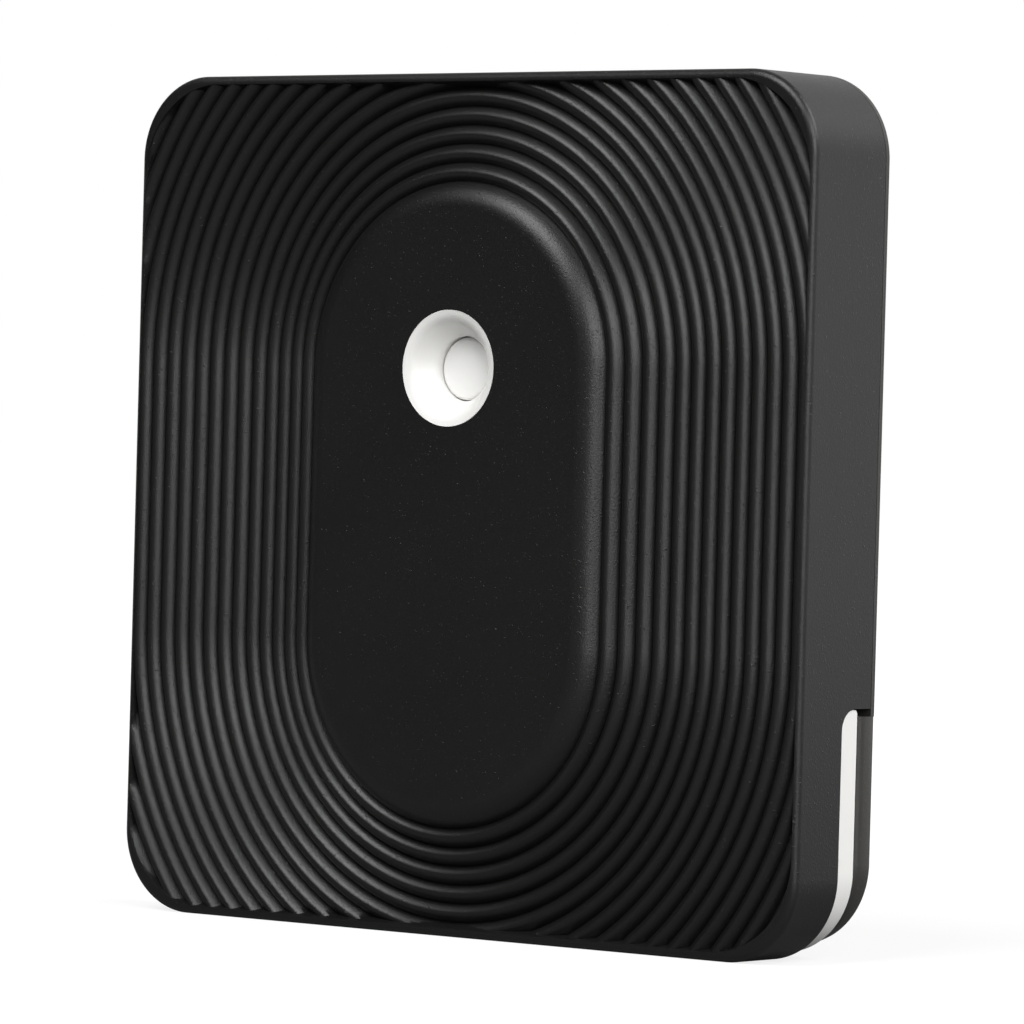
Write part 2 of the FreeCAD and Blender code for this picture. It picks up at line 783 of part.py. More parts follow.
def make_rear_cover():
    """Black cover that closes the back: edge flange, plug, lip in the notch, hooks and cell pad."""
    body = new_body("rear_cover")
    outline = new_sketch(body, "cover_outline", "XY_Plane")
    draw_rounded(outline, half_width, half_height, cell("corner_radius"))
    block = raise_pad(body, "cover_block", outline, lip_level)
    lip = bevel_edges(body, "lip_bevel", block, lip_level, cell("lip_bevel"))
    bevel_edges(body, "cover_bevel", lip, 0, cell("cover_bevel"))
    trim = new_sketch(body, "lip_trim_outline", "XY_Plane", cell("flange_edge"))
    draw_box(trim, (-half_width - WIDE, -cell("notch_top") - cell("lip_gap")),
             (half_width + WIDE, half_height + WIDE))
    cut_pocket(body, "lip_trim", trim, lip_level)
    plug = new_sketch(body, "plug_outline", "XY_Plane", cell("cover_bevel"))
    draw_rounded(plug, half_width - frame_inset, half_height - frame_inset,
                 cell("corner_radius") - frame_inset)
    raise_pad(body, "plug", plug, lip_level - cell("cover_bevel"))
    recess = new_sketch(body, "recess_outline", "XY_Plane", cell("cover_floor"))
    rim = frame_inset + cell("cover_rim")
    draw_rounded(recess, half_width - rim, half_height - rim, cell("corner_radius") - rim)
    cut_pocket(body, "recess", recess, lip_level)

    ring = new_sketch(body, "pad_ring_outline", "XY_Plane", cell("cover_floor"))
    ring_outer = cell_radius - cell("pad_ring_inset")
    draw_circle(ring, ring_outer - cell("pad_ring_wall"), 0, cell_height)
    draw_circle(ring, ring_outer, 0, cell_height)
    raise_pad(body, "pad_ring", ring, cell("cell_level") - cell("cover_floor") - cell("seat_gap"))

    hook_outer = half_height - cavity_inset - cell("hook_gap")
    hook_inner = hook_outer - cell("hook_thick")
    bead = cell("bead_height")
    tip = board_rear - cell("hook_board_gap")
    crown = tip - cell("bead_drop")
    for name, side in (("right", 1), ("left", -1)):
        hook = new_sketch(body, f"hook_{name}_outline", "YZ_Plane", side * cell("hook_spacing") / 2)
        draw_outline(hook, [
            (hook_inner, cell("cover_floor") / 2), (hook_outer, cell("cover_floor") / 2),
            (hook_outer, crown - bead), (hook_outer + bead, crown), (hook_outer - bead, tip), (hook_inner, tip)])
        upper = spread_pad(body, f"hook_{name}", hook, cell("hook_width"))
        mirror_last(body, f"hook_{name}_below", upper, "XZ_Plane")
    stand_up(body)
    return body


def make_circuit_board():
    """Circuit board with the cell's opening, screw holes and the sensor's tongue."""
    body = new_body("circuit_board")
    outline = new_sketch(body, "board_outline", "XY_Plane", board_rear)
    draw_rounded(outline, half_width - board_inset, half_height - board_inset, cell("board_corner"))
    raise_pad(body, "board", outline, cell("board_thick"))
    cuts = new_sketch(body, "cell_opening_outline", "XY_Plane", board_rear)
    draw_circle(cuts, cell_radius + cell("board_hole_gap"), 0, cell_height)
    cut_pocket(body, "cell_opening", cuts, cell("board_thick"))
    clip = new_sketch(body, "clip_slot_outline", "XY_Plane", board_rear)
    slot_half = cell("clip_width") / 2 + cell("board_hole_gap")
    slot_end = cell_radius + cell("contact_gap") + 2 * cell("clip_thick") + cell("clip_rise")
    draw_box(clip, (cell_radius - WIDE, cell_height - slot_half),
             (slot_end + cell("board_hole_gap"), cell_height + slot_half))
    cut_pocket(body, "clip_slot", clip, cell("board_thick"))
    holes = new_sketch(body, "board_hole_outline", "XY_Plane", board_rear)
    for place in tower_places:
        draw_circle(holes, cell("screw_radius") + cell("screw_hole_gap"), *place)
    cut_pocket(body, "board_holes", holes, cell("board_thick"))
    edge = half_height - board_inset
    slots = new_sketch(body, "tongue_slot_outline", "XY_Plane", board_rear)
    for side in (-1, 1):
        inner = side * cell("tongue_width") / 2
        outer = side * (cell("tongue_width") / 2 + cell("tongue_slot"))
        draw_box(slots, (inner, -edge - WIDE), (outer, cell("tongue_length") - edge))
    cut_pocket(body, "tongue_slots", slots, cell("board_thick"))
    stand_up(body)
    return body


def make_coin_cell():
    """Coin cell: positive can, negative cap, the seal between them and the electrodes inside."""
    rear = cell("cell_level")
    outer = cell_radius
    wall = cell("can_wall")
    chamfer = cell("can_chamfer")
    crimp = cell("crimp_width")
    gap = cell("seal_gap")
    shoulder = cell("cap_shoulder")
    cap = outer - cell("cap_inset")
    can_front = cell_front - wall
    seat = can_front - crimp - wall / 2
    can = turned_piece("cell_can", [
        (sized(0), rear), (outer - chamfer, rear), (outer, rear + chamfer), (outer, can_front - crimp),
        (outer - crimp, can_front), (outer - crimp, can_front - cell("crimp_lap")), (outer - wall, seat),
        (outer - wall, rear + wall), (sized(0), rear + wall)], None, 0, cell_height)
    rim = rear + cell("cap_lift")
    cap_piece = turned_piece("cell_cap", [
        (sized(0), cell_front - wall), (cap - wall, cell_front - wall), (cap - wall, rim), (cap, rim),
        (cap, cell_front - shoulder), (cap - shoulder, cell_front), (sized(0), cell_front)], None, 0, cell_height)
    seal_outer = outer - wall - gap
    seal = turned_piece("cell_seal", [
        (cap + gap, rear + wall + gap), (seal_outer, rear + wall + gap), (seal_outer, seat - gap),
        (cap + gap, seat - gap)], None, 0, cell_height)
    inside = cap - wall - cell("electrode_gap")
    electrodes = turned_piece("cell_electrodes", [
        (sized(0), rear + wall + cell("electrode_gap")), (inside, rear + wall + cell("electrode_gap")),
        (inside, cell_front - wall - cell("electrode_gap")),
        (sized(0), cell_front - wall - cell("electrode_gap"))], None, 0, cell_height)
    return [can, cap_piece, seal, electrodes]


def make_switch():
    """Push switch: moulded base, steel cover, snap dome and plunger."""
    floor = board_front + cell("switch_floor")
    half_w = cell("switch_width") / 2
    half_h = cell("switch_height") / 2
    sheet_thick = cell("switch_sheet")
    slip = cell("switch_slip")
    base = new_body("switch_base")
    outline = new_sketch(base, "switch_base_outline", "XY_Plane", board_front)
    draw_box(outline, (-half_w, -half_h), (half_w, half_h))
    raise_pad(base, "switch_block", outline, switch_front - board_front)
    bore = new_sketch(base, "switch_bore_outline", "XY_Plane", floor)
    draw_circle(bore, cell("switch_bore"))
    cut_pocket(base, "switch_bore", bore, switch_front - floor)
    stand_up(base, 0, button_height)

    cover_rear = switch_front + slip
    cover = new_body("switch_cover")
    plate = new_sketch(cover, "switch_plate_outline", "XY_Plane", cover_rear)
    outer = half_w + slip + sheet_thick
    draw_box(plate, (-outer, -half_h), (outer, half_h))
    draw_circle(plate, cell("plunger_radius") + cell("button_gap"))
    raise_pad(cover, "switch_plate", plate, sheet_thick)
    tabs = new_sketch(cover, "switch_tab_outline", "XY_Plane", board_front)
    for side in (-1, 1):
        draw_box(tabs, (side * (half_w + slip), -cell("switch_tab") / 2), (side * outer, cell("switch_tab") / 2))
    raise_pad(cover, "switch_tabs", tabs, switch_lid - board_front)
    stand_up(cover, 0, button_height)

    plunger_rear = switch_front - cell("plunger_flange_thick")
    stem_front = nub_level - cell("seat_gap")
    plunger = turned_piece("switch_plunger", [
        (sized(0), plunger_rear), (cell("plunger_flange"), plunger_rear), (cell("plunger_flange"), switch_front),
        (cell("plunger_radius"), switch_front), (cell("plunger_radius"), stem_front), (sized(0), stem_front)],
        None, 0, button_height)

    crown = cell("dome_crown")
    dome_front = plunger_rear - cell("dome_gap")
    dome_under = dome_front - cell("dome_sheet")
    dome = turned_piece("switch_dome", [
        (cell("dome_radius"), floor), (crown, dome_front), (sized(0), dome_front), (sized(0), dome_under),
        (crown, dome_under), (cell("dome_radius") - cell("dome_foot"), floor)], None, 0, button_height)
    return [base, cover, dome, plunger]


def make_contact_negative():
    """Leaf under the cell's cap: two tongues on the frame's floor and a soldered foot."""
    body = new_body("contact_negative")
    thick = cell("leaf_thick")
    riser = cell_radius + cell("board_hole_gap") + cell("board_gap")
    foot = riser + cell("leaf_foot")
    side = new_sketch(body, "leaf_outline", "XZ_Plane")
    draw_outline(side, [
        (-foot, board_front), (-riser + thick, board_front), (-riser + thick, frame_rear - thick),
        (cell("leaf_tongue"), frame_rear - thick), (cell("leaf_tongue"), frame_rear), (-riser, frame_rear),
        (-riser, board_front + thick), (-foot, board_front + thick)])
    spread_pad(body, "leaf", side, cell("leaf_width"))
    slot = new_sketch(body, "leaf_slot_outline", "XY_Plane", frame_rear - thick)
    slot_start = -cell_radius / 2
    draw_box(slot, (slot_start, -cell("leaf_slot") / 2), (cell("leaf_tongue") + WIDE, cell("leaf_slot") / 2))
    cut_pocket(body, "leaf_slot", slot, thick)
    stand_up(body, 0, cell_height)
    return body


def make_contact_positive():
    """Clip beside the cell: a soldered foot, a bridge and a finger against the can."""
    body = new_body("contact_positive")
    thick = cell("clip_thick")
    near = cell_radius + cell("contact_gap")
    riser = near + thick + cell("clip_rise")
    foot = riser + cell("clip_foot")
    bridge = board_rear - cell("clip_rise")
    finger_end = cell_front - cell("clip_short")
    side = new_sketch(body, "clip_outline", "XZ_Plane")
    draw_outline(side, [
        (near, bridge - thick), (riser + thick, bridge - thick), (riser + thick, board_rear - thick),
        (foot, board_rear - thick), (foot, board_rear), (riser, board_rear), (riser, bridge),
        (near + thick, bridge), (near + thick, finger_end), (near, finger_end)])
    spread_pad(body, "clip", side, cell("clip_width"))
    stand_up(body, 0, cell_height)
    return body


def make_board_screws():
    """Two small screws that hold the board and the frame to the shell's bosses."""
    head_rear = board_rear - cell("screw_head")
    radius = cell("screw_radius")
    screw_end = shell_inner - cell("screw_end_gap")
    points = [(sized(0), head_rear), (cell("screw_head_radius"), head_rear),
              (cell("screw_head_radius"), board_rear), (radius, board_rear),
              (radius, screw_end), (sized(0), screw_end)]
    screws = [turned_piece(f"screw_{index}", points, None, *place) for index, place in enumerate(tower_places)]
    group = doc.addObject("Part::Compound", "board_screws")
    group.Label = "board_screws"
    group.Links = screws
    return group


def start_block(label, width, height, level, thick):
    """A body that starts as a rectangular block round its own axis."""
    body = new_body(label)
    outline = new_sketch(body, f"{label}_outline", "XY_Plane", level)
    draw_box(outline, (-width / 2, -height / 2), (width / 2, height / 2))
    raise_pad(body, f"{label}_block", outline, thick)
    return body


def make_capped_block(label, width, height, level, thick):
    """A block with a wider metal cap on each end, as surface mounted parts have."""
    overlap = cell("terminal_lap")
    body = start_block(label, width, height - 2 * overlap, level, thick)
    caps = new_sketch(body, f"{label}_caps", "XY_Plane", level)
    inner = width / 2 - width * cell("terminal_share")
    for side in (-1, 1):
        draw_box(caps, (side * width / 2, -height / 2), (side * inner, height / 2))
    raise_pad(body, f"{label}_ends", caps, thick + overlap)
    return body


def make_radio_chip():
    """Radio and processor chip on the back of the board, with the dimple that marks its first pin."""
    level = board_rear - cell("radio_thick")
    side = cell("radio_side")
    body = start_block("radio_chip", side, side, level, cell("radio_thick"))
    mark = new_sketch(body, "radio_mark", "XY_Plane", level)
    offset = side / 2 - cell("mark_inset")
    draw_circle(mark, cell("mark_radius"), offset, offset)
    cut_pocket(body, "radio_dimple", mark, cell("mark_depth"))
    stand_up(body, -cell("radio_across"), half_height - cell("radio_drop"))
    return body


def make_crystal():
    """Crystal can: ceramic base and a smaller steel lid."""
    width = cell("crystal_width")
    height = cell("crystal_height")
    step = cell("crystal_step")
    level = board_rear - cell("crystal_base")
    body = start_block("crystal", width, height, level, cell("crystal_base"))
    lid = new_sketch(body, "crystal_lid_outline", "XY_Plane", level - cell("crystal_lid"))
    draw_box(lid, (step - width / 2, step - height / 2), (width / 2 - step, height / 2 - step))
    raise_pad(body, "crystal_lid", lid, cell("crystal_lid"))
    stand_up(body, cell("crystal_across"), half_height - cell("crystal_drop"))
    return body


def make_humidity_sensor():
    """Sensor chip on the board's tongue, with the round port that lets the air in."""
    side = cell("humidity_side")
    level = board_rear - cell("humidity_thick")
    body = start_block("humidity_sensor", side, side, level, cell("humidity_thick"))
    port = new_sketch(body, "humidity_port_outline", "XY_Plane", level)
    draw_circle(port, cell("humidity_port"))
    cut_pocket(body, "humidity_port", port, cell("humidity_port_depth"))
    stand_up(body, 0, board_inset + cell("humidity_edge") - half_height)
    return body


def make_board_components():
    """Resistors and small capacitors in rows on the back of the board."""
    blocks = []
    # Each row's distance from the upper edge, how many blocks it has, and its side
    rows = (("passive_row_drop", 6, -1), ("passive_row_drop", 5, 1), ("passive_top_drop", 4, -1))
    for drop, count, side in rows:
        for index in range(count):
            block = doc.addObject("Part::Box", "passive")
            bind(block, "Length", cell("passive_height"))
            bind(block, "Width", cell("passive_width"))
            bind(block, "Height", cell("passive_thick"))
            across = side * (cell("passive_start") + index * cell("passive_pitch"))
            stand_up(block, across, half_height - cell(drop), board_rear - cell("passive_thick"))
            blocks.append(block)
    group = doc.addObject("Part::Compound", "board_components")
    group.Label = "board_components"
    group.Links = blocks
    return group


def make_board_parts():
    """Everything soldered to the board apart from the switch and the contacts."""
    tall_level = cell("cover_floor") + cell("tall_part_gap")
    tall = board_rear - tall_level - cell("terminal_lap")
    antenna = make_capped_block("chip_antenna", cell("antenna_width"), cell("antenna_height"), tall_level, tall)
    stand_up(antenna, 0, half_height - cell("antenna_drop"))
    capacitor = make_capped_block("buffer_capacitor", cell("capacitor_width"), cell("capacitor_height"),
                                  tall_level, tall)
    stand_up(capacitor, cell("capacitor_across"), half_height - cell("capacitor_drop"))
    led = make_capped_block("status_led", cell("led_width"), cell("led_height"), board_front,
                            cell("led_thick") - cell("terminal_lap"))
    led_across = cell("guide_radius") + cell("guide_wall") + cell("led_gap") + cell("led_width") / 2
    stand_up(led, led_across, button_height)
    return [make_radio_chip(), antenna, make_crystal(), capacitor, led, make_humidity_sensor(),
            make_board_components()]


nodes = [make_front_shell(), make_inner_frame(), make_button_cap(), make_rear_cover(), make_circuit_board()]
nodes += make_board_parts()
nodes += make_coin_cell()
nodes += make_switch()
nodes += [make_contact_negative(), make_contact_positive(), make_board_screws()]

doc.recompute()
for item in doc.Objects:
    if "Invalid" in item.State or "Error" in item.State:
        raise RuntimeError(f"{item.Label} did not compute: {item.State}")
os.makedirs("parts", exist_ok=True)
for node in nodes:
    if node.Shape.isNull() or not node.Shape.isValid():
        raise RuntimeError(f"{node.Label} has no valid shape")
for node in nodes:
    node.Shape.exportStep(f"parts/{node.Label}.step")
    print(node.Label, len(node.Shape.Solids), round(node.Shape.Volume, 3))
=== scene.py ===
"""A square room sensor standing on its edge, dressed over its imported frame.

The shell with its ripple field, the white inner frame, the push button and the rear cover are
modelled here, and the electronics and the coin cell inside keep their solids and get finishes.
Sizes are in millimetres. A level counts forwards from the wall face, and across and up count from
the middle of the front.
"""

import logging
import math
from collections.abc import Sequence
from dataclasses import dataclass
from enum import Enum

import bpy
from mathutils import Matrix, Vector


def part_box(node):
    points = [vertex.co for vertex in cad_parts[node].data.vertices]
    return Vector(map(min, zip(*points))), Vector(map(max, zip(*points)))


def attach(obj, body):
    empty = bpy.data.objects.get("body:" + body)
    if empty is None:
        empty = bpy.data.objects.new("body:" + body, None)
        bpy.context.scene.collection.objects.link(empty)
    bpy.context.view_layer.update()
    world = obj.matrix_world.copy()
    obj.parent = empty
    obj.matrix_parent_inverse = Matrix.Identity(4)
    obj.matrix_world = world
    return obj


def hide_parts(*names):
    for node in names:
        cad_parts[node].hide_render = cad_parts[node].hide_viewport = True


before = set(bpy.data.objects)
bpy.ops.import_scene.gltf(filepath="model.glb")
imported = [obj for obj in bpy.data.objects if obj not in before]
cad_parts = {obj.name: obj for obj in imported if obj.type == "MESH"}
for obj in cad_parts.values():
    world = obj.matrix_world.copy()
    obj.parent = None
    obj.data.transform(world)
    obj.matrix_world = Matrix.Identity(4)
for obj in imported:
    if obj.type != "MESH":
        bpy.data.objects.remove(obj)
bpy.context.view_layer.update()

MM = 0.001
QUARTER = math.pi / 2
LOG = logging.getLogger("sensor")

# How far a cutting tool reaches past what it cuts, and how far an added form is sunk into its
# neighbour.
PAST = 1.0
SUNK = 0.3

Point = tuple[float, float]
Stops = tuple[Point, ...]


class Joining(Enum):
    """How one solid changes another."""

    ADD = "UNION"
    CUT = "DIFFERENCE"


@dataclass(frozen=True)
class Housing:
    """Where the housing stands, and the sizes that its nested shells share."""

    half: float
    wall_y: float
    middle_z: float
    plateau_level: float
    body_depth: float = 6.5
    corner: float = 4.4
    stadium_half: float = 7.1
    side_wall: float = 1.2
    frame_inset: float = 1.35
    cavity_inset: float = 2.25
    shell_inner: float = 5.1
    frame_front: float = 5.05
    frame_rear: float = 4.45
    board_front: float = 2.95
    cell_drop: float = 6.3
    tower_place: float = 16.0
    notch_top: float = 9.6

    @classmethod
    def from_frame(cls) -> "Housing":
        """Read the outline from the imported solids.

        Returns:
            The housing.
        """
        low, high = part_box("rear_cover")
        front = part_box("front_shell")[0][1]
        return cls(
            half=(high[0] - low[0]) / 2 / MM,
            wall_y=high[1] / MM,
            middle_z=(high[2] + low[2]) / 2 / MM,
            plateau_level=(high[1] - front) / MM,
        )

    @property
    def corner_place(self) -> float:
        """Distance of a corner's centre from the middle, across and up."""
        return self.half - self.corner

    def place(self, across: float, up: float, level: float) -> Vector:
        """A point of the housing in the row's frame.

        Args:
            across: Distance from the middle towards +X.
            up: Height above the middle of the front.
            level: Distance in front of the wall face.

        Returns:
            The point in metres.
        """
        return Vector((across, self.wall_y - level, self.middle_z + up)) * MM


def arc(centre: Point, radius: float, start: float, stop: float, steps: int) -> list[Point]:
    """Points on an arc, its two ends among them.

    Args:
        centre: The arc's centre.
        radius: Its radius.
        start: The first point's angle in degrees.
        stop: The last point's angle in degrees.
        steps: How many chords the arc has.

    Returns:
        The points in order.
    """
    angles = [math.radians(start + (stop - start) * step / steps) for step in range(steps + 1)]
    return [(centre[0] + radius * math.cos(angle), centre[1] + radius * math.sin(angle))
            for angle in angles]


@dataclass
class Bench:
    """The edit mode steps that every piece is made with."""

    housing: Housing
    quarter_steps: int = 36
    weld: float = 0.0005
    smooth_angle: float = 35.0

    def trace(self, name: str, points: Sequence[Vector]) -> bpy.types.Object:
        """Extrude one vertex along a line of points, and stay in edit mode.

        Args:
            name: The new object's name.
            points: The line's points in metres.

        Returns:
            The new object.
        """
        bpy.ops.object.select_all(action="DESELECT")
        bpy.ops.mesh.primitive_plane_add(size=MM, location=(0, 0, 0))
        piece = bpy.context.object
        piece.name = name
        piece.data.name = name
        bpy.ops.object.mode_set(mode="EDIT")
        bpy.ops.mesh.select_mode(type="VERT")
        bpy.ops.mesh.select_all(action="SELECT")
        bpy.ops.mesh.merge(type="CENTER")
        bpy.ops.transform.translate(value=points[0])
        for start, stop in zip(points, points[1:]):
            bpy.ops.mesh.extrude_region_move(TRANSFORM_OT_translate={"value": stop - start})
        return piece

    def close(self) -> None:
        """Merge doubles, fill the open ends, turn the faces outwards and leave edit mode."""
        bpy.ops.mesh.select_all(action="SELECT")
        bpy.ops.mesh.remove_doubles(threshold=self.weld * MM)
        bpy.ops.mesh.fill_holes(sides=0)
        bpy.ops.mesh.select_all(action="SELECT")
        bpy.ops.mesh.normals_make_consistent(inside=False)
        bpy.ops.object.mode_set(mode="OBJECT")

    def sweep(self, name: str, profile: Sequence[Point], half_across: float = 0.0,
              half_up: float = 0.0, centre: Point = (0.0, 0.0),
              steps: int | None = None) -> bpy.types.Object:
        """Carry a profile round a rounded rectangle: a spin at each corner, an extrusion on each side.

        Args:
            name: The new object's name.
            profile: Points as distance from the corner's centre and level.
            half_across: Half the distance between the corner centres, across.
            half_up: Half the distance between the corner centres, up.
            centre: The rectangle's middle, across and up.
            steps: Chords in each quarter turn.

        Returns:
            The closed solid.
        """
        place = self.housing.place
        corners = ((1, 1), (-1, 1), (-1, -1), (1, -1))
        sides = ((-2, 0), (0, -2), (2, 0), (0, 2))
        start = [place(centre[0] + half_across + radius, centre[1] + half_up, level)
                 for radius, level in profile]
        piece = self.trace(name, start)
        bpy.ops.mesh.select_all(action="SELECT")
        for (side_across, side_up), (step_across, step_up) in zip(corners, sides):
            pivot = place(centre[0] + side_across * half_across, centre[1] + side_up * half_up, 0)
            bpy.ops.mesh.spin(steps=steps or self.quarter_steps, angle=QUARTER, center=pivot,
                              axis=(0, 1, 0))
            shift = Vector((step_across * half_across, 0, step_up * half_up)) * MM
            if shift.length > 0:
                bpy.ops.mesh.extrude_region_move(TRANSFORM_OT_translate={"value": shift})
        self.close()
        return piece

    def column(self, name: str, radius: float, low: float, high: float, half_across: float = 0.0,
               half_up: float = 0.0, centre: Point = (0.0, 0.0)) -> bpy.types.Object:
        """A straight-walled post, or a rounded block where the corners stand apart.

        Args:
            name: The new object's name.
            radius: The post's radius, or the corners'.
            low: Its lower level.
            high: Its upper level.
            half_across: Half the distance between the corner centres, across.
            half_up: Half the distance between the corner centres, up.
            centre: Its middle, across and up.

        Returns:
            The closed solid.
        """
        return self.sweep(name, [(radius, low), (radius, high)], half_across, half_up, centre)

    def ring(self, name: str, radii: Point, low: float, high: float, centre: Point) -> bpy.types.Object:
        """A round wall.

        Args:
            name: The new object's name.
            radii: Its outer and its inner radius.
            low: Its lower level.
            high: Its upper level.
            centre: Its middle, across and up.

        Returns:
            The closed solid.
        """
        wall = self.column(name, radii[0], low, high, centre=centre)
        hole = self.column("hole", radii[1], low - PAST, high + PAST, centre=centre)
        return self.join(wall, hole, Joining.CUT)

    def prism(self, name: str, points: Sequence[Vector], way: Vector) -> bpy.types.Object:
        """A flat outline that is filled and extruded along a way.

        Args:
            name: The new object's name.
            points: The outline in metres, in order.
            way: The extrusion in metres.

        Returns:
            The closed solid.
        """
        piece = self.trace(name, points)
        bpy.ops.mesh.select_all(action="SELECT")
        bpy.ops.mesh.edge_face_add()
        bpy.ops.mesh.extrude_region_move(TRANSFORM_OT_translate={"value": way})
        self.close()
        return piece

    def block(self, name: str, low: Sequence[float], high: Sequence[float]) -> bpy.types.Object:
        """A box between two corners, each given as across, up and level.

        Args:
            name: The new object's name.
            low: The corner with the lower values.
            high: The corner with the higher values.

        Returns:
            The closed solid.
        """
        place = self.housing.place
        points = [place(low[0], low[1], low[2]), place(high[0], low[1], low[2]),
                  place(high[0], high[1], low[2]), place(low[0], high[1], low[2])]
        return self.prism(name, points, Vector((0, low[2] - high[2], 0)) * MM)

    def side_view(self, name: str, outline: Sequence[Point], half_across: float,
                  middle: float = 0.0) -> bpy.types.Object:
        """A prism from a side view.

        Args:
            name: The new object's name.
            outline: Points as up and level.
            half_across: Half of its width.
            middle: Where its middle lies across.

        Returns:
            The closed solid.
        """
        points = [self.housing.place(middle - half_across, up, level) for up, level in outline]
        return self.prism(name, points, Vector((2 * half_across, 0, 0)) * MM)

    def join(self, piece: bpy.types.Object, tool: bpy.types.Object, how: Joining) -> bpy.types.Object:
        """Add a tool to a piece, or cut the piece with it, and use the tool up.

        Args:
            piece: What is changed.
            tool: What is added or cut away.
            how: Which of the two.

        Returns:
            The piece.
        """
        modifier = piece.modifiers.new(how.value, "BOOLEAN")
        modifier.operation = how.value
        modifier.solver = "EXACT"
        modifier.object = tool
        bpy.ops.object.select_all(action="DESELECT")
        bpy.context.view_layer.objects.active = piece
        bpy.ops.object.modifier_apply(modifier=modifier.name)
        bpy.data.meshes.remove(tool.data)
        return piece

    def finish(self, piece: bpy.types.Object, material: bpy.types.Material) -> None:
        """Shade a piece smooth over its shallow edges, keep its flats flat, and give it its material.

        Args:
            piece: The finished mesh.
            material: Its material.
        """
        bpy.ops.object.select_all(action="DESELECT")
        piece.select_set(True)
        bpy.context.view_layer.objects.active = piece
        bpy.ops.object.shade_smooth_by_angle(angle=math.radians(self.smooth_angle))
        modifier = piece.modifiers.new("flats", "WEIGHTED_NORMAL")
        modifier.keep_sharp = True
        bpy.ops.object.modifier_apply(modifier=modifier.name)
        piece.data.materials.append(material)


@dataclass
class Value:
    """One number inside a material; arithmetic on it adds nodes."""

    shader: "Shader"
    socket: bpy.types.NodeSocket

    def __add__(self, other: "Value | float") -> "Value":
        """Sum."""
        return self.shader.math("ADD", self, other)

    def __radd__(self, other: "Value | float") -> "Value":
        """Sum, reflected."""
        return self.shader.math("ADD", other, self)

    def __sub__(self, other: "Value | float") -> "Value":
        """Difference."""
        return self.shader.math("SUBTRACT", self, other)

    def __rsub__(self, other: "Value | float") -> "Value":
        """Difference, reflected."""
        return self.shader.math("SUBTRACT", other, self)

    def __mul__(self, other: "Value | float") -> "Value":
        """Product."""
        return self.shader.math("MULTIPLY", self, other)

    def __rmul__(self, other: "Value | float") -> "Value":
        """Product, reflected."""
        return self.shader.math("MULTIPLY", other, self)


Colour = tuple[float, float, float]
Input = Value | float | Sequence[float]


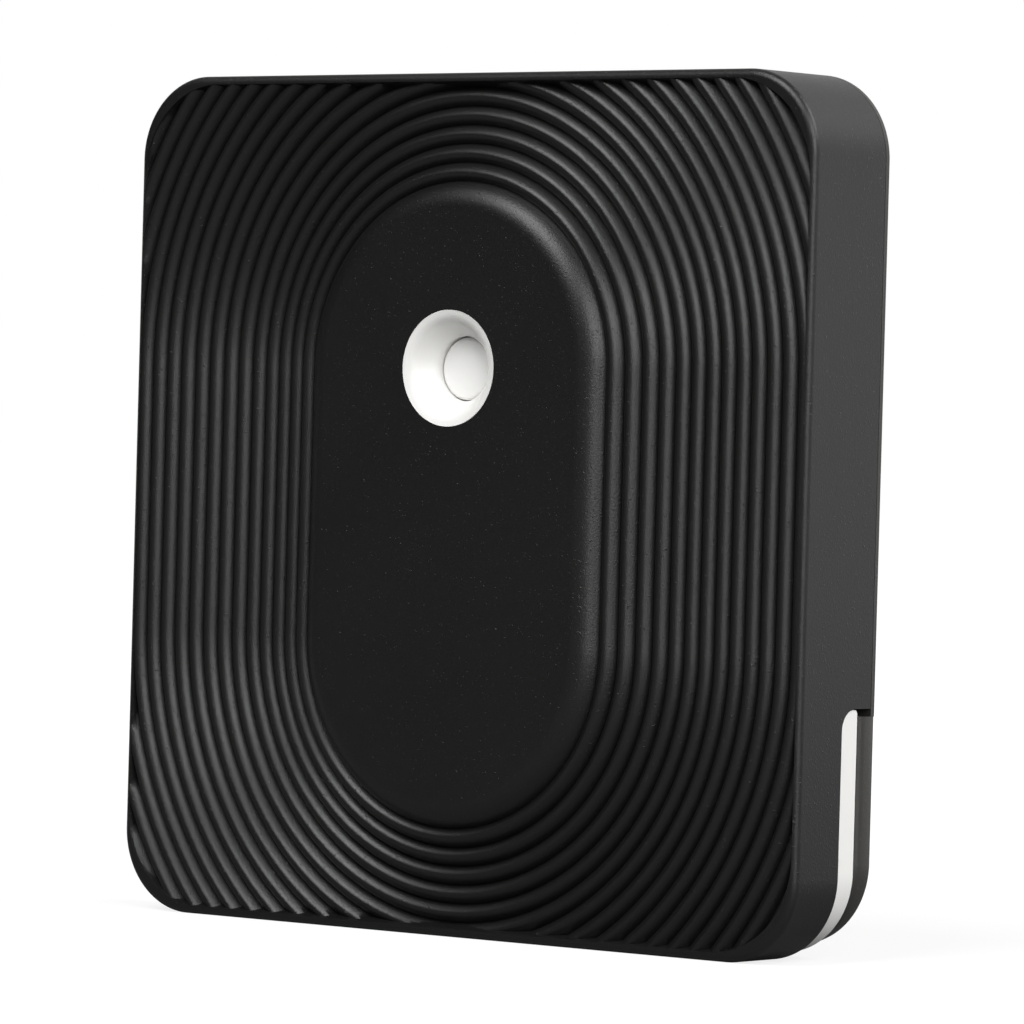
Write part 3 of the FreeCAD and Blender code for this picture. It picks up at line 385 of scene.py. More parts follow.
class Shader:
    """A material that is built node by node round one Principled shader."""

    def __init__(self, name: str) -> None:
        """Start an empty material.

        Args:
            name: The material's name.
        """
        self.material = bpy.data.materials.new(name)
        self.material.use_nodes = True
        self._start(self.material.node_tree, "ShaderNodeOutputMaterial", "Object")
        self.body = self.node("ShaderNodeBsdfPrincipled")
        self.tree.links.new(self.body.outputs["BSDF"], self.output.inputs["Surface"])

    def _start(self, tree: bpy.types.NodeTree, output: str, place: str) -> None:
        """Empty a tree, and give it its output and its coordinates.

        Args:
            tree: The node tree.
            output: The output node's type.
            place: Which coordinates it reads.
        """
        self.tree = tree
        tree.nodes.clear()
        self.output = self.node(output)
        self.place = Value(self, self.node("ShaderNodeTexCoord").outputs[place])

    @classmethod
    def of_world(cls, name: str) -> "Shader":
        """Start the surroundings, whose coordinates are the direction looked in.

        Args:
            name: The world's name.

        Returns:
            The shader, with nothing on its output yet.
        """
        shader = cls.__new__(cls)
        world = bpy.data.worlds.new(name)
        bpy.context.scene.world = world
        world.use_nodes = True
        shader._start(world.node_tree, "ShaderNodeOutputWorld", "Generated")
        return shader

    def node(self, kind: str, settings: dict[str, object] | None = None,
             inputs: dict[str | int, Input] | None = None) -> bpy.types.Node:
        """Add a node, with its settings first and then its sockets.

        Args:
            kind: The node's type.
            settings: Properties of the node; "stops" fills a colour ramp.
            inputs: Values or links by socket name or number.

        Returns:
            The node.
        """
        node = self.tree.nodes.new(kind)
        for key, setting in (settings or {}).items():
            if key == "stops":
                self._fill_ramp(node.color_ramp, setting)
            else:
                setattr(node, key, setting)
        for key, value in (inputs or {}).items():
            self.feed(node.inputs[key], value)
        return node

    @staticmethod
    def _fill_ramp(ramp: bpy.types.ColorRamp, stops: Stops) -> None:
        """Give a ramp its grey stops.

        Args:
            ramp: The node's ramp.
            stops: Position and grey of each stop.
        """
        while len(ramp.elements) < len(stops):
            ramp.elements.new(1.0)
        for element, (position, grey) in zip(ramp.elements, stops):
            element.position = position
            element.color = (grey, grey, grey, 1.0)

    def feed(self, socket: bpy.types.NodeSocket, value: Input) -> None:
        """Set a socket, or link it.

        Args:
            socket: The socket.
            value: A number, a colour or vector, or a value inside the material.
        """
        if isinstance(value, Value):
            self.tree.links.new(value.socket, socket)
        elif isinstance(value, (int, float)) or socket.type != "RGBA":
            socket.default_value = value
        else:
            socket.default_value = (*value, 1.0)

    def set(self, **inputs: Input) -> None:
        """Set or link sockets of the Principled shader, named with underscores for spaces."""
        for key, value in inputs.items():
            self.feed(self.body.inputs[key.replace("_", " ")], value)

    def math(self, operation: str, first: "Value | float", second: "Value | float" = 0.0) -> Value:
        """One step of arithmetic."""
        node = self.node("ShaderNodeMath", {"operation": operation}, {0: first, 1: second})
        return Value(self, node.outputs[0])

    def scaled(self, scale: Sequence[float]) -> Value:
        """The object's coordinates, scaled along each axis."""
        node = self.node("ShaderNodeMapping", {"vector_type": "POINT"},
                         {"Vector": self.place, "Scale": scale})
        return Value(self, node.outputs[0])

    def noise(self, size: float, detail: float = 2.0, roughness: float = 0.5,
              place: Value | None = None) -> Value:
        """Noise whose blotches are about one size across.

        Args:
            size: The size in millimetres.
            detail: Octaves.
            roughness: Strength of the finer octaves.
            place: Coordinates, or the object's own.

        Returns:
            A value from 0 to 1.
        """
        node = self.node("ShaderNodeTexNoise", {"noise_dimensions": "3D"},
                         {"Vector": place or self.place, "Scale": 1 / (size * MM), "Detail": detail,
                          "Roughness": roughness})
        return Value(self, node.outputs[0])

    def ramp(self, value: Value, stops: Stops) -> Value:
        """A value put through grey stops."""
        node = self.node("ShaderNodeValToRGB", {"stops": stops}, {0: value})
        return Value(self, node.outputs[0])

    def axis(self, name: str) -> Value:
        """One of the coordinates."""
        node = self.node("ShaderNodeSeparateXYZ", {}, {0: self.place})
        return Value(self, node.outputs[name])

    def blend(self, share: Value, first: Value | Colour, second: Value | Colour) -> Value:
        """A colour between two colours."""
        node = self.node("ShaderNodeMix", {"data_type": "RGBA"}, {0: share, 6: first, 7: second})
        return Value(self, node.outputs[2])

    def relief(self, height: Value, depth: float) -> None:
        """Bump the surface by a height of some millimetres."""
        node = self.node("ShaderNodeBump", {}, {"Height": height, "Distance": depth * MM})
        self.set(Normal=Value(self, node.outputs[0]))


@dataclass(frozen=True)
class BlackMoulding:
    """Black engineering plastic from a spark-eroded tool: a fine even grain under a low sheen."""

    name: str
    colour: Colour = (0.003, 0.003, 0.0029)
    bloom: Colour = (0.007, 0.007, 0.0068)
    roughness: float = 0.41
    grain: float = 0.11
    grain_depth: float = 0.012
    grain_gloss: float = 0.2
    cloud: float = 9.0
    cloud_gloss: float = 0.06
    cloud_bloom: float = 0.25
    speck: float = 0.14
    speck_stops: Stops = ((0.0, 0.0), (0.66, 0.0), (0.78, 1.0))
    speck_gloss: float = 0.1
    speck_bloom: float = 0.5
    index: float = 1.5

    def material(self) -> bpy.types.Material:
        """Build the finish.

        Returns:
            The material.
        """
        shader = Shader(self.name)
        grain = shader.noise(self.grain, detail=3.0, roughness=0.6)
        cloud = shader.noise(self.cloud)
        specks = shader.ramp(shader.noise(self.speck, detail=1.0), self.speck_stops)
        paleness = specks * self.speck_bloom + cloud * self.cloud_bloom
        shader.set(
            Base_Color=shader.blend(paleness, self.colour, self.bloom),
            Roughness=(self.roughness + (grain - 0.5) * self.grain_gloss + (cloud - 0.5) * self.cloud_gloss
                       - specks * self.speck_gloss),
            IOR=self.index,
        )
        shader.relief(grain + specks, self.grain_depth)
        return shader.material


@dataclass(frozen=True)
class WhiteMoulding:
    """White moulded plastic, smooth and slightly soft."""

    name: str
    colour: Colour = (0.81, 0.805, 0.79)
    shade: Colour = (0.78, 0.775, 0.755)
    roughness: float = 0.38
    grain: float = 0.2
    grain_depth: float = 0.002
    grain_gloss: float = 0.12
    cloud: float = 6.0
    index: float = 1.49

    def material(self) -> bpy.types.Material:
        """Build the finish.

        Returns:
            The material.
        """
        shader = Shader(self.name)
        grain = shader.noise(self.grain)
        cloud = shader.noise(self.cloud)
        shader.set(
            Base_Color=shader.blend(cloud, self.colour, self.shade),
            Roughness=self.roughness + (grain - 0.5) * self.grain_gloss,
            IOR=self.index,
        )
        shader.relief(grain, self.grain_depth)
        return shader.material


@dataclass(frozen=True)
class PlatedSteel:
    """Nickel plated steel with drawn lines along one axis."""

    name: str
    colour: Colour = (0.62, 0.605, 0.57)
    dull: Colour = (0.44, 0.43, 0.4)
    roughness: float = 0.3
    stretch: tuple[float, float, float] = (0.05, 1.0, 1.0)
    line: float = 0.12
    line_depth: float = 0.002
    line_dullness: float = 0.4
    line_gloss: float = 0.25
    cloud: float = 3.5
    cloud_dullness: float = 0.5
    cloud_gloss: float = 0.15

    def material(self) -> bpy.types.Material:
        """Build the finish.

        Returns:
            The material.
        """
        shader = Shader(self.name)
        lines = shader.noise(self.line, detail=3.0, place=shader.scaled(self.stretch))
        cloud = shader.noise(self.cloud, detail=3.0)
        dullness = lines * self.line_dullness + cloud * self.cloud_dullness
        shader.set(
            Base_Color=shader.blend(dullness, self.colour, self.dull),
            Metallic=1.0,
            Roughness=self.roughness + (lines - 0.5) * self.line_gloss + (cloud - 0.5) * self.cloud_gloss,
        )
        shader.relief(lines, self.line_depth)
        return shader.material


@dataclass(frozen=True)
class BoardLaminate:
    """Glass fibre board under green solder mask, with tracks that show as paler lanes."""

    name: str
    mask: Colour = (0.012, 0.075, 0.03)
    track: Colour = (0.022, 0.13, 0.05)
    lane: float = 1.9
    lanes_in_cell: float = 4.0
    track_stops: Stops = ((0.0, 0.0), (0.52, 0.0), (0.6, 1.0))
    weave: float = 0.35
    weave_height: float = 0.4
    weave_gloss: float = 0.14
    roughness: float = 0.28
    coat: float = 0.25
    depth: float = 0.012

    def material(self) -> bpy.types.Material:
        """Build the finish.

        Returns:
            The material.
        """
        shader = Shader(self.name)
        cells = shader.node("ShaderNodeTexVoronoi", {"distance": "MANHATTAN", "feature": "F1"},
                            {"Vector": shader.scaled((1, 0, 1)), "Scale": 1 / (self.lane * MM)})
        lanes = shader.math("FRACT", Value(shader, cells.outputs[0]) * self.lanes_in_cell)
        tracks = shader.ramp(lanes, self.track_stops)
        weave = shader.noise(self.weave)
        shader.set(
            Base_Color=shader.blend(tracks, self.mask, self.track),
            Roughness=self.roughness + weave * self.weave_gloss,
            Coat_Weight=self.coat,
        )
        shader.relief(tracks + weave * self.weave_height, self.depth)
        return shader.material


@dataclass(frozen=True)
class EndCapped:
    """A fired ceramic or epoxy block with tinned ends across X."""

    name: str
    node: str
    colour: Colour
    shade: float = 0.8
    cap_share: float = 0.2
    cap_gloss: float = 0.12
    tin: Colour = (0.68, 0.68, 0.66)
    roughness: float = 0.45
    grain: float = 0.15
    grain_depth: float = 0.004
    grain_gloss: float = 0.2

    def material(self) -> bpy.types.Material:
        """Build the finish.

        Returns:
            The material.
        """
        shader = Shader(self.name)
        low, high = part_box(self.node)
        middle = (low[0] + high[0]) / 2
        bare = (high[0] - low[0]) * (0.5 - self.cap_share)
        offset = shader.math("ABSOLUTE", shader.axis("X") - middle)
        caps = shader.math("GREATER_THAN", offset, bare)
        grain = shader.noise(self.grain, detail=3.0)
        body = shader.blend(grain, self.colour, tuple(self.shade * share for share in self.colour))
        shader.set(
            Base_Color=shader.blend(caps, body, self.tin),
            Metallic=caps,
            Roughness=self.roughness + (grain - 0.5) * self.grain_gloss - caps * self.cap_gloss,
        )
        shader.relief(grain, self.grain_depth)
        return shader.material


@dataclass(frozen=True)
class Epoxy:
    """Moulded epoxy, nylon or powder: one colour with a fine grain."""

    name: str
    colour: Colour
    pale: Colour
    roughness: float = 0.5
    grain: float = 0.08
    grain_depth: float = 0.004
    grain_gloss: float = 0.2
    grain_share: float = 0.6
    cloud_share: float = 0.4
    grains_in_cloud: float = 12

    def material(self) -> bpy.types.Material:
        """Build the finish.

        Returns:
            The material.
        """
        shader = Shader(self.name)
        grain = shader.noise(self.grain, detail=3.0)
        cloud = shader.noise(self.grain * self.grains_in_cloud)
        paleness = grain * self.grain_share + cloud * self.cloud_share
        shader.set(
            Base_Color=shader.blend(paleness, self.colour, self.pale),
            Roughness=self.roughness + (grain - 0.5) * self.grain_gloss,
        )
        shader.relief(grain, self.grain_depth)
        return shader.material


@dataclass(frozen=True)
class RippleField:
    """The rounded ripples round the plateau, and the sloping border that ends them."""

    housing: Housing
    plateau_radius: float = 8.35
    shoulder_run: float = 1.2
    shoulder_drop: float = 0.62
    first_valley: float = 9.75
    pitch: float = 0.983
    depth: float = 0.46
    crest_fullness: float = 0.95
    dish_radius: float = 14.6
    dish_depth: float = 0.3
    dish_rise: float = 0.45
    dish_slope: float = 0.044
    side_inset: float = 0.28
    end_inset: float = 0.45
    corner_ease: float = 0.9
    rim_drop: float = 0.03
    border_angle: float = 18.0
    floor_depth: float = 1.0
    points_in_wave: int = 14
    points_in_shoulder: int = 10

    def crest_level(self, radius: float) -> float:
        """Level of the crests.

        Args:
            radius: Distance from the stadium's spine.

        Returns:
            The level.
        """
        low = self.housing.body_depth - self.dish_depth
        if radius < self.dish_radius:
            share = (self.dish_radius - radius) / (self.dish_radius - self.first_valley)
            return low + (self.dish_depth + self.dish_rise) * share ** 2
        high = self.housing.body_depth - self.rim_drop
        return min(high, low + self.dish_slope * (radius - self.dish_radius))

    def profile(self) -> list[Point]:
        """Half of the relief, from the middle of the plateau outwards.

        Returns:
            Points as distance from the spine and level.
        """
        top = self.housing.plateau_level
        bend = (self.shoulder_run ** 2 + self.shoulder_drop ** 2) / (2 * self.shoulder_drop)
        points = [(0.0, top), (self.plateau_radius, top)]
        for step in range(1, self.points_in_shoulder + 1):
            out = self.shoulder_run * step / self.points_in_shoulder
            points.append((self.plateau_radius + out, top - bend + math.sqrt(bend ** 2 - out ** 2)))
        reach = math.hypot(self.housing.corner_place, self.housing.corner_place - self.housing.stadium_half)
        waves = math.ceil((reach + self.housing.corner - self.first_valley) / self.pitch) + 1
        for step in range(waves * self.points_in_wave + 1):
            share = step / self.points_in_wave
            radius = self.first_valley + share * self.pitch
            rise = abs(math.sin(math.pi * share)) ** self.crest_fullness
            points.append((radius, self.crest_level(radius) - self.depth * (1 - rise)))
        return points

    def air(self, bench: Bench) -> bpy.types.Object:
        """The space in front of the ripples.

        Args:
            bench: The modelling steps.

        Returns:
            The tool that cuts them.
        """
        profile = self.profile()
        base = self.housing.body_depth - self.floor_depth - PAST
        ground = bench.sweep("ground", [*profile, (profile[-1][0], base), (0.0, base)],
                             0.0, self.housing.stadium_half)
        low = self.housing.body_depth - self.floor_depth
        high = self.housing.plateau_level + PAST
        slope = math.tan(math.radians(self.border_angle))
        rim = self.housing.corner - self.side_inset + self.corner_ease
        away = self.housing.corner_place - self.corner_ease
        border = [(rim + (level - self.housing.body_depth) * slope, level) for level in (low, high)]
        air = bench.sweep("ripple_air", border, away, away - (self.end_inset - self.side_inset))
        return bench.join(air, ground, Joining.CUT)


@dataclass(frozen=True)
class FrontShell:
    """Black front moulding: rounded square, ripple field, well hole, side notch and screw bosses."""

    housing: Housing
    ripples: RippleField
    finish: BlackMoulding
    edge: float = 0.4
    edge_steps: int = 10
    rear_level: float = 0.42
    apron_radius: float = 14.6
    apron_stock: float = 0.4
    core_radius: float = 6.8
    core_depth: float = 0.8
    collar_radius: float = 4.4
    well_radius: float = 3.06
    notch_level: float = 2.85
    notch_radius: float = 1.1
    notch_steps: int = 12
    boss_radius: float = 1.7
    boss_length: float = 1.5
    pilot_radius: float = 0.8
    pilot_length: float = 1.6

    def build(self, bench: Bench) -> bpy.types.Object:
        """Model the shell.

        Args:
            bench: The modelling steps.

        Returns:
            The finished piece.
        """
        house = self.housing
        away = house.corner_place
        rounded = arc((house.corner - self.edge, house.body_depth - self.edge), self.edge, 0, 90,
                      self.edge_steps)
        shell = bench.sweep("shell", [(house.corner, self.rear_level), *rounded], away, away)
        apron = bench.column("apron", self.apron_radius, house.shell_inner + PAST,
                             house.plateau_level + self.apron_stock, 0, house.stadium_half)
        bench.join(shell, apron, Joining.ADD)
        cavity = bench.column("cavity", house.corner - house.side_wall, -PAST, house.shell_inner,
                              away, away)
        bench.join(shell, cavity, Joining.CUT)
        self._cut_core(bench, shell)
        bench.join(shell, self._notch(bench), Joining.CUT)
        self._add_bosses(bench, shell)
        bench.join(shell, self.ripples.air(bench), Joining.CUT)
        bench.finish(shell, self.finish.material())
        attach(shell, "housing")
        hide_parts("front_shell")
        return shell

    def _cut_core(self, bench: Bench, shell: bpy.types.Object) -> None:
        """Hollow the plateau from behind, with a collar left round the well's hole.

        Args:
            bench: The modelling steps.
            shell: The piece that is cut.
        """
        house = self.housing
        centre = (0, house.stadium_half)
        low = house.shell_inner - PAST
        core = bench.column("core", self.core_radius, low, house.shell_inner + self.core_depth,
                            0, house.stadium_half)
        collar = bench.column("collar", self.collar_radius, low - PAST, house.plateau_level, centre=centre)
        bench.join(core, collar, Joining.CUT)
        bench.join(shell, core, Joining.CUT)
        hole = bench.column("well_hole", self.well_radius, low, house.plateau_level + PAST, centre=centre)
        bench.join(shell, hole, Joining.CUT)

    def _add_bosses(self, bench: Bench, shell: bpy.types.Object) -> None:
        """Add the two screw bosses with their pilot holes.

        Args:
            bench: The modelling steps.
            shell: The piece that they stand in.
        """
        house = self.housing
        end = house.shell_inner - self.boss_length
        for side in (-1, 1):
            centre = (side * house.tower_place, side * house.tower_place)
            boss = bench.column("boss", self.boss_radius, end, house.shell_inner + SUNK, centre=centre)
            bench.join(shell, boss, Joining.ADD)
            pilot = bench.column("pilot", self.pilot_radius, end - PAST, end + self.pilot_length,
                                 centre=centre)
            bench.join(shell, pilot, Joining.CUT)

    def _notch(self, bench: Bench) -> bpy.types.Object:
        """The finger notch that runs round the lower edge.

        Args:
            bench: The modelling steps.

        Returns:
            The tool that cuts it.
        """
        top = -self.housing.notch_top
        low = -self.housing.half - PAST
        bend = arc((top - self.notch_radius, self.notch_level - self.notch_radius), self.notch_radius,
                   0, 90, self.notch_steps)
        return bench.side_view("notch", [(low, -PAST), (top, -PAST), *bend, (low, self.notch_level)],
                               self.housing.half + PAST)


@dataclass(frozen=True)
class InnerFrame:
    """White frame: the band in the notch, the button's well, screw towers and the cell's ring."""

    housing: Housing
    finish: WhiteMoulding
    band_recess: float = 0.1
    band_lift: float = 0.3
    band_front: float = 2.8
    band_gap: float = 0.05
    band_round: float = 1.05
    round_steps: int = 12
    band_corner: float = 0.25
    corner_steps: int = 8
    skirt_level: float = 1.43
    tower_radius: float = 2.5
    tower_bore: float = 1.9
    tower_lid: float = 0.55
    screw_hole: float = 0.9
    ring_inner: float = 10.25
    ring_outer: float = 11.05
    ring_length: float = 1.3
    ring_opening: float = 5.6
    guide_inner: float = 2.5
    guide_outer: float = 3.1
    guide_length: float = 0.72
    well_radius: float = 3.03
    well_land: float = 0.48
    well_land_drop: float = 0.12
    well_depth: float = 1.3
    lip_radius: float = 0.55
    lip_drop: float = 0.1925
    lip_steps: int = 10
    aim_reach: float = 0.11
    aim_rise: float = 0.33
    brim_reach: float = 0.02
    brim_rise: float = 0.005
    crease_reach: float = 0.32
    crease_steps: int = 8
    bore: float = 1.7
    vent_width: float = 3.0
    vent_height: float = 0.8
    vent_pitch: float = 5.0
    vent_level: float = 2.1

    def build(self, bench: Bench) -> bpy.types.Object:
        """Model the frame.

        Args:
            bench: The modelling steps.

        Returns:
            The finished piece.
        """
        house = self.housing
        away = house.corner_place
        piece = bench.column("frame_moulding", house.corner - self.band_recess, self.skirt_level,
                             self.band_front, away, away - (self.band_lift - self.band_recess))
        bench.join(piece, self._trim(bench), Joining.CUT)
        skirt = bench.column("skirt", house.corner - house.frame_inset, self.skirt_level, house.frame_front,
                             away, away)
        bench.join(piece, skirt, Joining.ADD)
        cavity = bench.column("frame_cavity", house.corner - house.cavity_inset, -PAST, house.frame_rear,
                              away, away)
        bench.join(piece, cavity, Joining.CUT)
        self._add_towers(bench, piece)
        self._add_rings(bench, piece)
        self._add_well(bench, piece)
        self._cut_vents(bench, piece)
        bench.finish(piece, self.finish.material())
        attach(piece, "housing")
        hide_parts("inner_frame")
        return piece

    def _trim(self, bench: Bench) -> bpy.types.Object:
        """What is cut away above the band, with the band's two rounded corners.

        Args:
            bench: The modelling steps.

        Returns:
            The tool that cuts it.
        """
        top = -self.housing.notch_top - self.band_gap
        high = self.housing.half + PAST
        front = arc((top - self.band_round, self.band_front - self.band_round), self.band_round, 90, 0,
                    self.round_steps)
        rear = arc((top - self.band_corner, self.skirt_level + self.band_corner), self.band_corner, 0, -90,
                   self.corner_steps)
        outline = [(top - self.band_round, self.band_front + PAST), *front, *rear,
                   (top - self.band_corner, self.skirt_level - PAST), (high, self.skirt_level - PAST),
                   (high, self.band_front + PAST)]
        return bench.side_view("trim", outline, self.housing.half + PAST)

    def _add_towers(self, bench: Bench, piece: bpy.types.Object) -> None:
        """Hollow screw towers that stand on the board.

        Args:
            bench: The modelling steps.
            piece: The frame.
        """
        house = self.housing
        lid = house.board_front + self.tower_lid
        steps = ((Joining.ADD, self.tower_radius, house.board_front, house.frame_rear + SUNK),
                 (Joining.CUT, self.tower_bore, lid, house.frame_front + PAST),
                 (Joining.CUT, self.screw_hole, house.board_front - PAST, lid + PAST))
        for side in (-1, 1):
            centre = (side * house.tower_place, side * house.tower_place)
            for how, radius, low, high in steps:
                bench.join(piece, bench.column("tower", radius, low, high, centre=centre), how)

    def _add_rings(self, bench: Bench, piece: bpy.types.Object) -> None:
        """The ring round the coin cell, open on both sides, and the button's guide.

        Args:
            bench: The modelling steps.
            piece: The frame.
        """
        house = self.housing
        top = house.frame_rear + SUNK
        low = house.frame_rear - self.ring_length
        ring = bench.ring("cell_ring", (self.ring_outer, self.ring_inner), low, top, (0, -house.cell_drop))
        reach = self.ring_outer + PAST
        half = self.ring_opening / 2
        gap = bench.block("ring_gap", (-reach, -house.cell_drop - half, low - PAST),
                          (reach, -house.cell_drop + half, house.frame_rear))
        bench.join(ring, gap, Joining.CUT)
        bench.join(piece, ring, Joining.ADD)
        guide = bench.ring("guide", (self.guide_outer, self.guide_inner),
                           house.frame_rear - self.guide_length, top, (0, house.stadium_half))
        bench.join(piece, guide, Joining.ADD)

    def _add_well(self, bench: Bench, piece: bpy.types.Object) -> None:
        """The dished well that leads down to the button, and its bore.

        Args:
            bench: The modelling steps.
            piece: The frame.
        """
        house = self.housing
        centre = (0, house.stadium_half)
        top = house.plateau_level
        bottom = top - self.well_depth
        post = bench.column("well", self.well_radius, house.frame_front - SUNK, top, centre=centre)
        bench.join(piece, post, Joining.ADD)
        crease = (self.well_radius - self.well_land, top - self.well_land_drop)
        slope = math.degrees(math.atan2(crease[1] - bottom - self.aim_rise,
                                        crease[0] - self.bore - self.aim_reach))
        lip = arc((self.bore + self.lip_radius, bottom - self.lip_drop), self.lip_radius, 180, 90 + slope,
                  self.lip_steps)
        brim = (self.well_radius + self.brim_reach, top + self.brim_rise)
        funnel = [(0.0, house.frame_rear - PAST), (self.bore, house.frame_rear - PAST), *lip,
                  *self._soften(crease, lip[-1], brim), brim, (brim[0], top + PAST), (0.0, top + PAST)]
        bench.join(piece, bench.sweep("funnel", funnel, centre=centre), Joining.CUT)

    def _cut_vents(self, bench: Bench, piece: bpy.types.Object) -> None:
        """Cut the air vents in the lower band.

        Args:
            bench: The modelling steps.
            piece: The frame.
        """
        low_up = -self.housing.half - PAST
        high_up = -self.housing.half + self.housing.cavity_inset + PAST
        half_width = self.vent_width / 2
        half_height = self.vent_height / 2
        for index in (-1, 0, 1):
            across = index * self.vent_pitch
            vent = bench.block("vent", (across - half_width, low_up, self.vent_level - half_height),
                               (across + half_width, high_up, self.vent_level + half_height))
            bench.join(piece, vent, Joining.CUT)

    def _soften(self, crease: Point, before: Point, after: Point) -> list[Point]:
        """A curve that takes the place of a crease.

        Args:
            crease: The crease's point.
            before: The profile's point before it.
            after: The profile's point after it.

        Returns:
            The curve's points.
        """
        ends = []
        for other in (before, after):
            share = self.crease_reach / math.dist(crease, other)
            ends.append(tuple(here + (there - here) * share for here, there in zip(crease, other)))
        curve = []
        for step in range(self.crease_steps + 1):
            share = step / self.crease_steps
            weights = ((1 - share) ** 2, 2 * share * (1 - share), share ** 2)
            pulls = tuple(zip(weights, (ends[0], crease, ends[1])))
            curve.append(tuple(sum(weight * point[axis] for weight, point in pulls) for axis in (0, 1)))
        return curve


@dataclass(frozen=True)
class PushButton:
    """White push button: disc, shaft, retaining flange and the nub that works the switch."""

    housing: Housing
    finish: WhiteMoulding
    radius: float = 1.65
    recess: float = 1.56
    edge: float = 0.22
    edge_steps: int = 6
    turn_steps: int = 24
    flange_radius: float = 2.3
    flange_thick: float = 0.39
    flange_gap: float = 0.05
    nub_radius: float = 0.9
    nub_length: float = 0.15

    def build(self, bench: Bench) -> bpy.types.Object:
        """Model the button.

        Args:
            bench: The modelling steps.

        Returns:
            The finished piece.
        """
        house = self.housing
        top = house.plateau_level - self.recess
        front = house.frame_rear - self.flange_gap
        rear = front - self.flange_thick
        rounded = arc((self.radius - self.edge, top - self.edge), self.edge, 0, 90, self.edge_steps)
        profile = [(0.0, rear - self.nub_length), (self.nub_radius, rear - self.nub_length),
                   (self.nub_radius, rear), (self.flange_radius, rear), (self.flange_radius, front),
                   (self.radius, front), *rounded, (0.0, top)]
        piece = bench.sweep("push_button", profile, centre=(0, house.stadium_half), steps=self.turn_steps)
        bench.finish(piece, self.finish.material())
        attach(piece, "button")
        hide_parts("button_cap")
        return piece


@dataclass(frozen=True)
class RearCover:
    """Black cover: edge flange, lip in the notch, plug with recess, cell pad and snap hooks."""

    housing: Housing
    finish: BlackMoulding
    flange_level: float = 0.38
    rear_bevel: float = 0.1
    roll: float = 2.9
    roll_level: float = 0.72
    roll_angle: float = 13.5
    roll_end: float = 0.03
    roll_steps: int = 8
    lip_lift: float = 0.6
    lip_round: float = 0.5
    lip_steps: int = 10
    lip_gap: float = 0.4
    lip_level: float = 1.34
    floor_level: float = 0.8
    rim: float = 1.15
    ring_inner: float = 6.6
    ring_outer: float = 7.4
    ring_level: float = 1.0
    hook_width: float = 4.0
    hook_thick: float = 0.8
    hook_place: float = 11.0
    hook_reach: float = 2.0
    hook_gap: float = 0.1
    bead_height: float = 0.07
    bead_drop: float = 0.25

    def build(self, bench: Bench) -> bpy.types.Object:
        """Model the cover.

        Args:
            bench: The modelling steps.

        Returns:
            The finished piece.
        """
        house = self.housing
        away = house.corner_place
        reach = house.half + PAST
        split = -house.notch_top - self.lip_gap
        flange = [(house.corner - self.rear_bevel, 0.0), (house.corner, self.rear_bevel),
                  (house.corner, self.flange_level)]
        cover = bench.sweep("cover", flange, away, away)
        below = bench.block("below", (-reach, -reach, -PAST), (reach, split, self.lip_level))
        bench.join(cover, below, Joining.CUT)
        lip = self._lip(bench)
        above = bench.block("above", (-reach, split, -PAST), (reach, reach, self.lip_level + PAST))
        bench.join(lip, above, Joining.CUT)
        bench.join(cover, lip, Joining.ADD)
        wall = house.corner - house.frame_inset
        plug = bench.column("plug", wall, self.rear_bevel, self.lip_level, away, away)
        bench.join(cover, plug, Joining.ADD)
        recess = bench.column("recess", wall - self.rim, self.floor_level, self.lip_level + PAST,
                              away, away)
        bench.join(cover, recess, Joining.CUT)
        ring = bench.ring("pad_ring", (self.ring_outer, self.ring_inner), self.floor_level - SUNK,
                          self.ring_level, (0, -house.cell_drop))
        bench.join(cover, ring, Joining.ADD)
        for side_across in (-1, 1):
            for side_up in (-1, 1):
                bench.join(cover, self._hook(bench, side_across, side_up), Joining.ADD)
        bench.finish(cover, self.finish.material())
        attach(cover, "cover")
        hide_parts("rear_cover")
        return cover

    def _lip(self, bench: Bench) -> bpy.types.Object:
        """The lip in the notch, rolled in towards the rear, all the way round.

        Args:
            bench: The modelling steps.

        Returns:
            The closed solid.
        """
        corner = self.housing.corner
        away = self.housing.corner_place
        rear = arc((corner - self.roll, self.roll_level), self.roll, -self.roll_angle, 0, self.roll_steps)
        front = arc((corner - self.lip_round, self.lip_level - self.lip_round), self.lip_round, 0, 90,
                    self.lip_steps)
        rise = self.lip_lift / 2
        return bench.sweep("lip", [(rear[0][0] - self.roll_end, 0.0), *rear, *front], away, away - rise,
                           centre=(0, rise))

    def _hook(self, bench: Bench, side_across: int, side_up: int) -> bpy.types.Object:
        """One snap hook with its bead and lead-in.

        Args:
            bench: The modelling steps.
            side_across: The side that it stands on, across.
            side_up: The side that it stands on, up.

        Returns:
            The closed solid.
        """
        outer = self.housing.half - self.housing.cavity_inset - self.hook_gap
        inner = outer - self.hook_thick
        crown = self.hook_reach - self.bead_drop
        root = self.floor_level / 2
        outline = [(inner, root), (outer, root), (outer, crown - self.bead_height),
                   (outer + self.bead_height, crown), (outer - self.bead_height, self.hook_reach),
                   (inner, self.hook_reach)]
        placed = [(side_up * up, level) for up, level in outline]
        return bench.side_view("hook", placed, self.hook_width / 2, side_across * self.hook_place)


